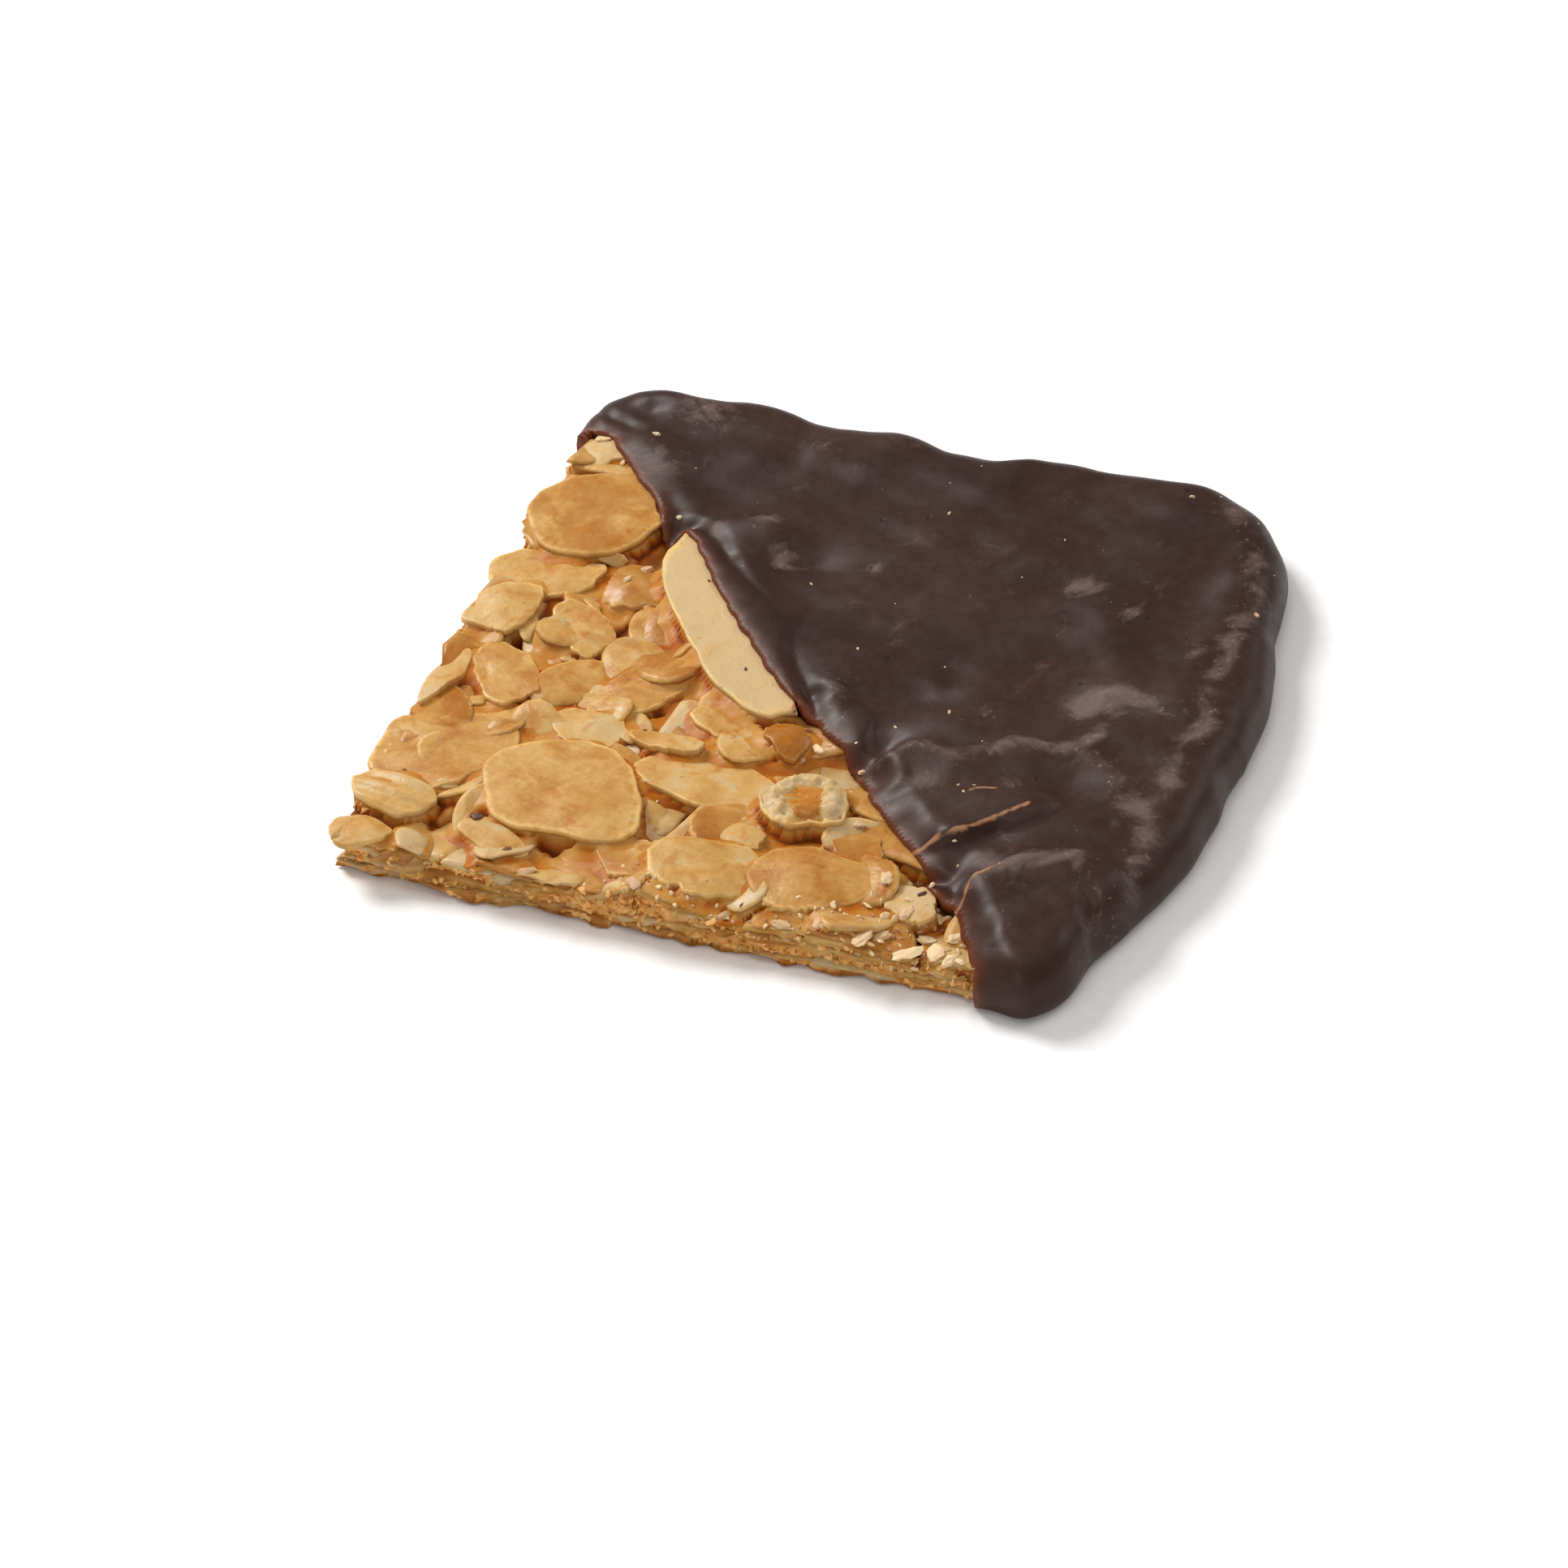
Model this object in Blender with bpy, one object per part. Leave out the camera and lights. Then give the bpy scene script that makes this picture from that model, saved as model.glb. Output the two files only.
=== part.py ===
"""A florentine: a knife-cut square of sliced almonds set in caramel, dipped over one diagonal
half in dark chocolate.

Frame: metres, +Z up, lying flat. The cut sides run along X and Y, the bare corner points to
-X -Y and the dipped corner to +X +Y. The origin is on the surface that the florentine lies on,
below the middle of its whole outline. Plan places are first given from the middle of the cut
square, which the empty at the end shifts to the frame.
"""
import math

import bmesh
import bpy
import numpy
from mathutils import Matrix, Vector
from mathutils.bvhtree import BVHTree

MM = 0.001

# Driving dimensions
HALF = 29.0 * MM              # half a side of the cut square
SQUARE_MIDDLE = (-2.45 * MM, 0.75 * MM)   # middle of the cut square in the frame
GAP = 0.3 * MM                # left between pieces that touch
BARE_TOP = 3.0 * MM           # caramel and almonds below the topmost slices, bare half
DIPPED_TOP = 3.5 * MM         # the same under the chocolate
DIPPED_BOTTOM = 1.0 * MM      # the slab is lifted by the chocolate under it
BARE_BOTTOM = 0.15 * MM       # and sags towards the surface where it is bare
SAG_LENGTH = 14.0 * MM        # over which it comes down
EDGE_RAGGED = 0.35 * MM       # how far crumbs break out of the cut sides
FILM = 0.45 * MM              # chocolate at its thin border
COAT = 1.35 * MM              # chocolate on the flat of the square
THICKENS_OVER = 3.0 * MM      # from the border inwards
SHOULDER = 2.2 * MM           # rounding of the chocolate's rim
SLAB_CELLS = 20
COAT_CELLS = 34

# Outlines: (place along the side, position of the side) in millimetres, corner radii as a
# share of half a side, in the order bare, back left, dipped, front right.
SLAB_SIDES = {
    "left": ((-29, -29.0), (-20, -29.3), (-12, -28.3), (-4, -29.2), (6, -28.5), (19, -28.9),
             (23, -28.2), (29, -26.8)),
    "right": ((-29, 26.0), (-20, 27.6), (0, 29.2), (15, 28.0), (29, 26.0)),
    "front": ((-29, -28.6), (-20, -29.2), (-8, -28.5), (4, -29.3), (14, -28.8), (29, -28.4)),
    "back": ((-29, 25.6), (-10, 25.7), (2, 25.0), (16, 25.9), (29, 25.2)),
}
SLAB_CORNERS = (0.04, 0.18, 0.30, 0.14)
COAT_SIDES = {
    "left": ((-29, -30.5), (20, -30.2), (24, -29.8), (29, -29.2)),
    "right": ((-29, 30.0), (-22, 31.6), (-14, 33.4), (-5, 34.4), (2, 34.4), (9, 34.0),
              (16, 32.2), (29, 30.2)),
    "front": ((-29, -30.2), (18, -30.4), (25, -31.0), (29, -31.0)),
    "back": ((-29, 29.6), (-22, 29.0), (-17, 29.8), (-9, 28.4), (-5, 28.9), (2, 28.0),
             (10, 29.1), (17, 29.2), (29, 29.0)),
}
COAT_CORNERS = (0.04, 0.16, 0.32, 0.14)
# Rim of the chocolate, ring by ring: inset from the outline and height, in millimetres.
COAT_RIM = ((0.55, 3.35), (0.0, 2.1), (0.25, 0.9), (1.1, 0.0))

# Border of the chocolate across the square, from the back left side to the front, millimetres.
BORDER = ((-31.0, 22.6), (-27.0, 21.6), (-22.0, 16.6), (-18.4, 12.0), (-14.3, 9.6),
          (-8.0, 1.8), (-1.3, -4.9), (5.5, -10.0), (10.5, -15.5), (16.5, -21.0), (20.0, -24.6),
          (23.0, -29.0), (24.6, -33.5))

# Ridges that the chocolate set in: start, end, height and half width, in millimetres.
RIDGES = (
    ((8.0, -12.0), (15.0, -9.2), 0.75, 1.5),
    ((15.0, -9.2), (22.5, -6.4), 0.55, 1.7),
    ((15.0, -19.0), (21.5, -13.4), 0.65, 1.4),
    ((20.0, -24.4), (22.0, -19.8), 0.80, 1.3),
    ((22.0, -19.8), (29.0, -18.6), 0.60, 1.5),
    ((10.0, -16.0), (18.0, -11.5), 0.55, 3.4),
    ((23.5, -27.0), (27.0, -22.0), 0.55, 3.6),
    ((-24.5, 24.5), (-18.0, 27.0), 0.45, 2.2),
    ((-8.0, 24.0), (8.0, 25.0), 0.35, 3.2),
    ((27.5, 4.0), (28.5, -12.0), 0.30, 2.4),
)

# Almond slices on the bare half: name, middle x and y, length, width, heading in degrees,
# thickness, how far the tip narrows and the curl of the rim. Lengths in millimetres.
SLICES = (
    ("slice_left_low", -25.0, 4.8, 9.5, 6.6, 20, 1.0, 0.10, 0.10),
    ("slice_left_large", -24.8, -17.6, 10.6, 9.4, 35, 1.1, 0.10, 0.10),
    ("slice_left_middle", -26.6, -1.2, 6.4, 4.8, 60, 1.0, 0.15, 0.05),
    ("slice_slanted", -23.2, -8.2, 9.4, 5.0, -50, 1.0, 0.20, 0.10),
    ("slice_round_small", -12.8, -6.6, 7.2, 6.0, 30, 1.0, 0.10, 0.12),
    ("slice_under_long", -4.2, -8.4, 8.2, 4.6, -20, 1.0, 0.20, 0.05),
    ("slice_pale_middle", -14.4, -12.4, 6.6, 5.0, -35, 1.0, 0.20, 0.05),
    ("slice_front_left", -7.0, -25.6, 9.0, 4.6, 5, 1.0, 0.25, 0.10),
    ("slice_front_corner", -17.0, -26.4, 6.0, 4.0, -10, 1.0, 0.40, 0.05),
    ("slice_jagged", 0.5, -20.2, 6.4, 3.6, -15, 0.9, 0.30, 0.05),
    ("slice_front_middle", 0.3, -25.0, 8.4, 6.4, -5, 1.0, 0.10, 0.10),
    ("slice_thin_left", -19.4, -1.4, 7.4, 4.4, -40, 0.9, 0.20, 0.10),
    ("slice_edge_strip", -28.0, -9.6, 7.8, 2.8, 88, 0.9, 0.15, 0.00),
    ("slice_border_low", 10.4, -19.6, 5.2, 3.6, -42, 0.9, 0.20, 0.05),
    ("slice_border_lump", 1.0, -9.8, 4.2, 3.2, -40, 1.3, 0.10, -0.15),
    ("slice_lumpy", -17.4, 5.2, 6.2, 5.2, 10, 1.2, 0.15, -0.25),
    ("slice_amber", -23.6, 12.6, 11.4, 9.8, 55, 1.1, 0.15, 0.15),
    ("slice_back_corner", -27.2, 19.6, 4.6, 3.6, 60, 0.9, 0.25, 0.00),
    ("slice_left_striped", -26.0, -24.0, 6.8, 4.2, -8, 1.0, 0.15, 0.05),
    ("slice_bare_corner", -27.2, -28.0, 4.6, 3.8, 20, 1.0, 0.10, -0.10),
    ("slice_round_large", -13.5, -20.0, 13.4, 10.8, -20, 1.2, 0.08, 0.15),
    ("slice_oval", -3.4, -15.6, 11.6, 5.6, -4, 1.1, 0.15, 0.10),
    ("slice_shard", -7.8, -12.5, 6.2, 2.6, -8, 0.9, 0.30, 0.15),
    ("slice_front_domed", 8.2, -24.2, 8.6, 6.6, 8, 1.1, 0.10, -0.20),
    ("slice_ring_lump", 5.0, -16.6, 7.2, 6.4, 0, 1.8, 0.00, 0.75),
    ("slice_long_pale", -7.9, 0.1, 23.4, 7.2, -49, 1.2, 0.35, 0.20),
    ("slice_border_crumb", 16.2, -24.4, 5.4, 3.2, -30, 1.0, 0.20, 0.00),
)
PALE = {"slice_long_pale", "slice_ring_lump", "slice_border_crumb", "slice_pale_middle",
        "slice_back_corner"}
SLICE_SEGMENTS = 16
SLICE_RINGS = 5


def smooth_line(points, at):
    """Height at a place along a smooth curve through a few (place, height) points."""
    places = [place for place, _ in points]
    heights = [height for _, height in points]
    slopes = numpy.gradient(heights, places)
    at = min(max(at, places[0]), places[-1])
    k = min(max(int(numpy.searchsorted(places, at)) - 1, 0), len(points) - 2)
    span = places[k + 1] - places[k]
    t = (at - places[k]) / span
    start = (1 + 2 * t) * (1 - t) ** 2 * heights[k] + t * (1 - t) ** 2 * span * slopes[k]
    end = t * t * (3 - 2 * t) * heights[k + 1] + t * t * (t - 1) * span * slopes[k + 1]
    return start + end


def smooth_step(low, high, value):
    t = min(max((value - low) / (high - low), 0.0), 1.0)
    return t * t * (3 - 2 * t)


def rounded_corner(u, v, corners):
    """Pull a point of the unit square in to its corner's arc."""
    radius = corners[(1 if v > 0 else 0) if u < 0 else (2 if v > 0 else 3)]
    across = (abs(u) - (1 - radius)) / radius
    along = (abs(v) - (1 - radius)) / radius
    if across <= 0 or along <= 0:
        return u, v
    arc_u = 1 - radius + radius * across * math.sqrt(1 - along * along / 2)
    arc_v = 1 - radius + radius * along * math.sqrt(1 - across * across / 2)
    return math.copysign(arc_u, u), math.copysign(arc_v, v)


def plan_point(u, v, sides, corners, inset=0.0):
    """Plan place of a point of the unit square inside four wavy sides."""
    u, v = rounded_corner(u, v, corners)
    along_x = u * HALF / MM
    along_y = v * HALF / MM
    left = smooth_line(sides["left"], along_y) * MM + inset
    right = smooth_line(sides["right"], along_y) * MM - inset
    front = smooth_line(sides["front"], along_x) * MM + inset
    back = smooth_line(sides["back"], along_x) * MM - inset
    return left + (right - left) * (u + 1) / 2, front + (back - front) * (v + 1) / 2


def border_distance(x, y):
    """Distance from the chocolate's border, above 0 on the dipped side."""
    point = Vector((x, y))
    best = None
    for start, end in zip(BORDER, BORDER[1:]):
        start = Vector(start) * MM
        run = Vector(end) * MM - start
        share = min(max((point - start).dot(run) / run.length_squared, 0.0), 1.0)
        away = point - (start + run * share)
        side = run.x * away.y - run.y * away.x
        if best is None or away.length < abs(best):
            best = math.copysign(away.length, side)
    return best


def slab_top(x, y):
    """Almonds and caramel under the topmost slices: shallow humps the size of a slice."""
    humps = math.sin(x / (2.1 * MM) + 1.3 * math.sin(y / (3.1 * MM)))
    humps += math.sin(y / (1.9 * MM) + 1.1 * math.sin(x / (2.7 * MM) + 2.0))
    dipped = smooth_step(-1.5 * MM, 1.5 * MM, border_distance(x, y))
    return BARE_TOP + (DIPPED_TOP - BARE_TOP) * dipped + 0.12 * MM * humps


def slab_bottom(x, y):
    bare = smooth_step(0.0, SAG_LENGTH, -border_distance(x, y) - 1.0 * MM)
    return DIPPED_BOTTOM + (BARE_BOTTOM - DIPPED_BOTTOM) * bare


def ridge_height(x, y):
    """Raised folds of the chocolate's surface."""
    height = 0.0
    for start, end, rise, half_width in RIDGES:
        start = Vector(start) * MM
        run = Vector(end) * MM - start
        share = min(max((Vector((x, y)) - start).dot(run) / run.length_squared, 0.0), 1.0)
        away = (Vector((x, y)) - (start + run * share)).length / (half_width * MM)
        height += rise * MM * math.exp(-away * away)
    return height


def coat_top(x, y):
    """Top of the chocolate: thin at its border, gently uneven, with its ridges."""
    inwards = 1 - math.exp(-max(border_distance(x, y), 0.0) / THICKENS_OVER)
    swell = math.sin(x / (5.3 * MM) + 0.7) * math.sin(y / (4.4 * MM) + x / (9.0 * MM))
    return (DIPPED_TOP + GAP + FILM + (COAT - FILM) * inwards + 0.16 * MM * swell
            + ridge_height(x, y) * inwards)


def collection(name):
    made = bpy.data.collections.new(name)
    bpy.context.scene.collection.children.link(made)
    return made


def material(name, colour, roughness, metallic=0.0):
    made = bpy.data.materials.new(name)
    made.use_nodes = True
    shader = made.node_tree.nodes["Principled BSDF"]
    shader.inputs["Base Color"].default_value = (*colour, 1.0)
    shader.inputs["Roughness"].default_value = roughness
    shader.inputs["Metallic"].default_value = metallic
    return made


def add_object(name, bm, folder, look=None):
    mesh = bpy.data.meshes.new(name)
    bm.to_mesh(mesh)
    bm.free()
    mesh.shade_smooth()
    made = bpy.data.objects.new(name, mesh)
    folder.objects.link(made)
    if look:
        mesh.materials.append(look)
    else:
        made.hide_render = True
        made.display_type = "WIRE"
    return made


def unit_grid(cells, crowding=0.5):
    """A grid over the unit square with its cells finer towards the sides."""
    bm = bmesh.new()
    bmesh.ops.create_grid(bm, x_segments=cells, y_segments=cells, size=1.0)
    for vert in bm.verts:
        for axis in (0, 1):
            even = vert.co[axis]
            vert.co[axis] = even + crowding * (math.sin(even * math.pi / 2) - even)
    return bm


def slab_mesh(clearance=0.0):
    """The whole almond slab; with a clearance, the same form grown by it on every face."""
    bm = unit_grid(SLAB_CELLS)
    places = {vert: (vert.co.x, vert.co.y) for vert in bm.verts}
    extruded = bmesh.ops.extrude_face_region(bm, geom=bm.faces[:])
    upper = [item for item in extruded["geom"] if isinstance(item, bmesh.types.BMVert)]
    for vert in upper:
        places[vert] = (vert.co.x, vert.co.y)
    tops = set(upper)
    walls = [edge for edge in bm.edges if (edge.verts[0] in tops) != (edge.verts[1] in tops)]
    for vert, (u, v) in places.items():
        x, y = plan_point(u, v, SLAB_SIDES, SLAB_CORNERS, -clearance)
        if vert in tops:
            vert.co = (x, y, slab_top(x, y) + clearance)
        else:
            vert.co = (x, y, slab_bottom(x, y) - clearance)
    cut = bmesh.ops.subdivide_edges(bm, edges=walls, cuts=2)
    if clearance == 0.0:
        for item in cut["geom_inner"]:
            if isinstance(item, bmesh.types.BMVert):
                ragged = math.sin(item.co.x / (0.9 * MM) + item.co.y / (1.3 * MM)
                                  + item.co.z / (0.5 * MM))
                pull = 1 - EDGE_RAGGED * (1 + ragged) / (2 * HALF)
                item.co.x *= pull
                item.co.y *= pull
    bmesh.ops.recalc_face_normals(bm, faces=bm.faces[:])
    return bm


def coat_form():
    """The chocolate's outer form over the whole square, before it is halved and hollowed."""
    bm = unit_grid(COAT_CELLS, 0.75)
    places = {vert: (vert.co.x, vert.co.y) for vert in bm.verts}
    inset, height = COAT_RIM[0]
    for vert, (u, v) in places.items():
        x, y = plan_point(u, v, COAT_SIDES, COAT_CORNERS, inset * MM)
        outer = 1 - max(abs(u), abs(v))
        drop = math.exp(-(outer * HALF / SHOULDER) ** 2 * 1.4)
        top = coat_top(x, y)
        vert.co = (x, y, top + (height * MM - top) * drop)
    ring = [edge for edge in bm.edges if edge.is_boundary]
    for inset, height in COAT_RIM[1:]:
        spots = {vert.co.to_tuple(7): vert for edge in ring for vert in edge.verts}
        made = bmesh.ops.extrude_edge_only(bm, edges=ring)
        for item in made["geom"]:
            if isinstance(item, bmesh.types.BMVert):
                places[item] = places[spots[item.co.to_tuple(7)]]
                x, y = plan_point(*places[item], COAT_SIDES, COAT_CORNERS, inset * MM)
                item.co = (x, y, height * MM)
        ring = [item for item in made["geom"] if isinstance(item, bmesh.types.BMEdge)
                and item.is_boundary]
    bmesh.ops.edgeloop_fill(bm, edges=ring)
    bmesh.ops.recalc_face_normals(bm, faces=bm.faces[:])
    return bm


def block_beside_border(name, corners, shift, folder):
    """An upright block with the border as one side, for cutting one half of the square."""
    reach = 12 * MM
    curve = bpy.data.curves.new(name, "CURVE")
    curve.dimensions = "2D"
    curve.fill_mode = "BOTH"
    curve.extrude = reach
    curve.resolution_u = 3
    spline = curve.splines.new("BEZIER")
    spline.bezier_points.add(len(BORDER) + len(corners) - 1)
    for point, place in zip(spline.bezier_points, BORDER + corners):
        smooth = place in BORDER
        point.handle_left_type = point.handle_right_type = "AUTO" if smooth else "VECTOR"
        moved = shift if smooth else 0.0
        point.co = (place[0] * MM + moved, place[1] * MM + moved, 0.0)
    spline.use_cyclic_u = True
    drawn = bpy.data.objects.new(name, curve)
    folder.objects.link(drawn)
    bpy.context.view_layer.update()
    bm = bmesh.new()
    bm.from_mesh(bpy.data.meshes.new_from_object(drawn))
    bmesh.ops.remove_doubles(bm, verts=bm.verts[:], dist=0.01 * MM)
    bmesh.ops.recalc_face_normals(bm, faces=bm.faces[:])
    bpy.data.objects.remove(drawn)
    return add_object(name, bm, folder)


def slice_mesh(length, width, thickness, narrowing, curl, phase):
    """One sliced almond: a rounded plate, narrower at its tip, its outline not quite even."""
    bm = bmesh.new()
    bmesh.ops.create_uvsphere(bm, u_segments=SLICE_SEGMENTS, v_segments=SLICE_RINGS, radius=1.0)
    for vert in bm.verts:
        angle = math.atan2(vert.co.y, vert.co.x)
        out = min(math.hypot(vert.co.x, vert.co.y), 1.0)
        out = out ** 0.35
        uneven = 1 + 0.04 * math.sin(3 * angle + phase) + 0.025 * math.sin(5 * angle - phase)
        x = out * uneven * math.cos(angle)
        y = out * uneven * math.sin(angle) * (1 - narrowing * (0.5 + 0.5 * math.cos(angle)))
        rise = math.copysign(abs(vert.co.z) ** 0.6, vert.co.z)
        z = rise * thickness / 2 + curl * MM * (out * out - 0.5) * (1 if rise > 0 else 0.3)
        vert.co = (x * length / 2, y * width / 2, z)
    return bm


def triangles_of(pieces):
    """Points and triangles of several pieces, in the plan's coordinates."""
    points = []
    faces = []
    for piece in pieces:
        first = len(points)
        points.extend(piece.matrix_world @ vert.co for vert in piece.data.vertices)
        piece.data.calc_loop_triangles()
        for triangle in piece.data.loop_triangles:
            faces.append([first + corner for corner in triangle.vertices])
    return points, faces


def settle(piece, below):
    """Lean a slice with what lies below it and lower it on to that, leaving the gap."""
    points, faces = triangles_of(below)
    ground = BVHTree.FromPolygons(points, faces)
    high = 30 * MM
    down = Vector((0, 0, -1))
    rests = []
    for vert in piece.data.vertices:
        place = piece.matrix_world @ vert.co
        hit = ground.ray_cast(Vector((place.x, place.y, high)), down)[0]
        if hit:
            rests.append(hit)
    if len(rests) > 8:
        rows = numpy.array([[hit.x, hit.y, 1.0] for hit in rests])
        heights = numpy.array([hit.z for hit in rests])
        slope_x, slope_y, _ = numpy.linalg.lstsq(rows, heights, rcond=None)[0]
        limit = math.tan(math.radians(9))
        lean = Vector((-slope_x, -slope_y)) * 0.85
        if lean.length > limit:
            lean = lean.normalized() * limit
        tilt = Vector((0, 0, 1)).rotation_difference(Vector((lean.x, lean.y, 1.0)))
        piece.matrix_world = (Matrix.Translation(piece.matrix_world.translation)
                              @ tilt.to_matrix().to_4x4()
                              @ piece.matrix_world.to_3x3().to_4x4())
    lift = -high
    for vert in piece.data.vertices:
        place = piece.matrix_world @ vert.co
        hit = ground.ray_cast(Vector((place.x, place.y, high)), down)[0]
        if hit:
            lift = max(lift, hit.z - place.z)
    own_points, own_faces = triangles_of([piece])
    own = BVHTree.FromPolygons(own_points, own_faces)
    for point in points:
        hit = own.ray_cast(Vector((point.x, point.y, -high)), -down)[0]
        if hit:
            lift = max(lift, point.z - hit.z)
    piece.matrix_world = (Matrix.Translation((0, 0, lift + 1.1 * GAP)) @ piece.matrix_world)


def add_slices(slab, bare_side, folder, looks):
    """Lay the topmost slices on the bare half one by one, each on those before it."""
    laid = [slab]
    for number, row in enumerate(SLICES):
        name, x, y, length, width, heading, thickness, narrowing, curl = row
        look = looks["pale"] if name in PALE else looks["toasted"]
        bm = slice_mesh(length * MM, width * MM, thickness * MM, narrowing, curl, number * 1.7)
        piece = add_object(name, bm, folder, look)
        piece.matrix_world = (Matrix.Translation((x * MM, y * MM, 0.0))
                              @ Matrix.Rotation(math.radians(heading), 4, "Z"))
        settle(piece, laid)
        trim = piece.modifiers.new("knife cut and border", "BOOLEAN")
        trim.operation = "INTERSECT"
        trim.object = bare_side
        laid.append(piece)
    return laid[1:]


def add_coat(dipped_side, folder, cutters, look):
    """The dipped half: the outer form, hollowed for the slab and ended at the border."""
    coat = add_object("chocolate_coat", coat_form(), folder, look)
    hollow = add_object("slab_clearance", slab_mesh(GAP), cutters)
    for name, operation, tool in (("hollow", "DIFFERENCE", hollow),
                                  ("border", "INTERSECT", dipped_side)):
        cut = coat.modifiers.new(name, "BOOLEAN")
        cut.operation = operation
        cut.object = tool
    return coat


def build():
    for old in list(bpy.data.objects):
        bpy.data.objects.remove(old)
    folder = collection("florentine")
    cutters = collection("cutters")
    looks = {
        "caramel": material("almond and caramel", (0.58, 0.32, 0.12), 0.35),
        "toasted": material("toasted almond", (0.68, 0.43, 0.19), 0.45),
        "pale": material("pale almond", (0.78, 0.58, 0.33), 0.5),
        "chocolate": material("dark chocolate", (0.042, 0.021, 0.017), 0.4),
    }
    bare_side = block_beside_border("bare_side", ((-29.6, -29.6),), -0.75 * GAP, cutters)
    dipped_side = block_beside_border("dipped_side", ((42.0, -33.5), (42.0, 42.0),
                                                      (-31.0, 42.0)), 0.0, cutters)
    slab = add_object("almond_slab", slab_mesh(), folder, looks["caramel"])
    coat = add_coat(dipped_side, folder, cutters, looks["chocolate"])
    slices = add_slices(slab, bare_side, folder, looks)
    middle = bpy.data.objects.new("florentine_middle", None)
    folder.objects.link(middle)
    for piece in [slab, coat, *slices]:
        piece.parent = middle
    for tool in cutters.objects:
        tool.parent = middle
    middle.location = (*SQUARE_MIDDLE, 0.0)


build()
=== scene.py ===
"""The florentine's looks: sliced almonds in caramel and a dipped half of dark chocolate."""

import math

import bmesh
import bpy
import numpy as np
from mathutils import Matrix, Vector
from mathutils.bvhtree import BVHTree
from mathutils.geometry import convex_hull_2d


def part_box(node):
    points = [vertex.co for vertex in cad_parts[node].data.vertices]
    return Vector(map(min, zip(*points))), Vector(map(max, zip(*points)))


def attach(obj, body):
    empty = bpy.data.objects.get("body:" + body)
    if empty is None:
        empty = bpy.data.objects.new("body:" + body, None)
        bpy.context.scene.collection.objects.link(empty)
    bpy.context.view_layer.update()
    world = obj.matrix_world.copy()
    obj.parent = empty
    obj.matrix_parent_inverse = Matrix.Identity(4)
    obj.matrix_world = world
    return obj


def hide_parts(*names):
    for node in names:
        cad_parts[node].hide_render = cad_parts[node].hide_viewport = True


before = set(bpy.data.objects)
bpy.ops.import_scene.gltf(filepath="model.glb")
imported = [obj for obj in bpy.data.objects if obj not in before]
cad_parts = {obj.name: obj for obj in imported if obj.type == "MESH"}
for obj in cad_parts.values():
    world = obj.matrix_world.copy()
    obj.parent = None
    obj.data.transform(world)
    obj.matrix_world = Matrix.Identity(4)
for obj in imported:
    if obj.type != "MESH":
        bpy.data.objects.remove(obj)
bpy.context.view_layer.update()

# Everything below is worked out in millimetres from the middle of the cut square, with the
# surface that the florentine lies on at height 0, and put in its place when a mesh is made.
MM = 0.001
CUT = 29.0                     # from the middle of the square to its knife-cut sides
SLAB_REACH = 29.3              # from the middle to the lowest x and y of the slab's solid
SLAB_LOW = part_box("almond_slab")[0]
COAT_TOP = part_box("chocolate_coat")[1].z / MM
MIDDLE = Vector((SLAB_LOW.x + SLAB_REACH * MM, SLAB_LOW.y + SLAB_REACH * MM, 0.0))
SLICE_NODES = sorted(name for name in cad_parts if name.startswith("slice_"))

# The chocolate's border, from the back left side across the square to the front.
BORDER_POINTS = (
    (-33.0, 22.9), (-29.2, 22.2), (-27.0, 21.7), (-25.2, 20.0), (-22.0, 16.6), (-19.6, 14.4),
    (-18.5, 12.4), (-17.4, 10.9), (-16.0, 10.8), (-14.3, 9.6), (-11.3, 5.6), (-8.0, 1.8),
    (-4.6, -1.8), (-1.6, -4.9), (0.5, -6.2), (2.8, -7.7), (5.5, -10.0), (7.8, -12.3),
    (10.5, -15.5), (13.8, -18.4), (16.4, -20.9), (17.2, -22.7), (19.6, -24.1), (20.9, -26.0),
    (22.8, -29.0), (23.8, -31.5), (24.4, -34.0))

# Folds that the chocolate set in: start, end, rise and the reach of the left and right flank.
FOLDS = (
    ((7.4, -12.0), (11.3, -9.0), 1.00, 0.55, 2.8),
    ((11.3, -9.0), (15.0, -9.4), 1.05, 0.55, 2.8),
    ((15.0, -9.4), (18.7, -6.9), 0.95, 0.8, 2.6),
    ((18.7, -6.9), (23.2, -5.6), 0.50, 1.2, 2.6),
    ((23.2, -5.6), (27.5, -8.3), 0.45, 1.4, 2.2),
    ((14.4, -19.4), (18.2, -17.0), 0.95, 2.4, 0.45),
    ((18.2, -17.0), (22.0, -13.0), 0.85, 2.6, 0.55),
    ((20.0, -24.9), (20.5, -22.0), 1.10, 0.5, 2.6),
    ((20.5, -22.0), (23.1, -19.3), 1.15, 0.5, 2.8),
    ((23.1, -19.3), (27.3, -17.9), 0.90, 0.7, 2.8),
    ((27.3, -17.9), (29.6, -20.5), 0.50, 1.0, 2.4),
    ((12.0, -16.2), (17.4, -12.2), 0.42, 2.6, 3.0),
    ((24.0, -26.5), (27.5, -22.5), 0.50, 3.2, 3.2),
    ((-25.0, 26.6), (-20.0, 28.0), 0.45, 1.8, 2.0),
    ((-9.0, 24.0), (7.0, 25.2), 0.28, 2.4, 3.0),
    ((27.6, 24.0), (28.6, 2.0), 0.32, 2.0, 2.2),
    ((-15.5, 12.2), (-9.5, 13.5), 0.34, 1.0, 1.8),
    ((-9.5, 8.5), (-4.5, 3.2), 0.30, 1.2, 1.6),
    ((19.0, 12.5), (24.0, 2.0), 0.26, 2.0, 2.4),
    ((2.5, -3.6), (9.5, -1.0), 0.28, 1.4, 2.2),
)
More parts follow.
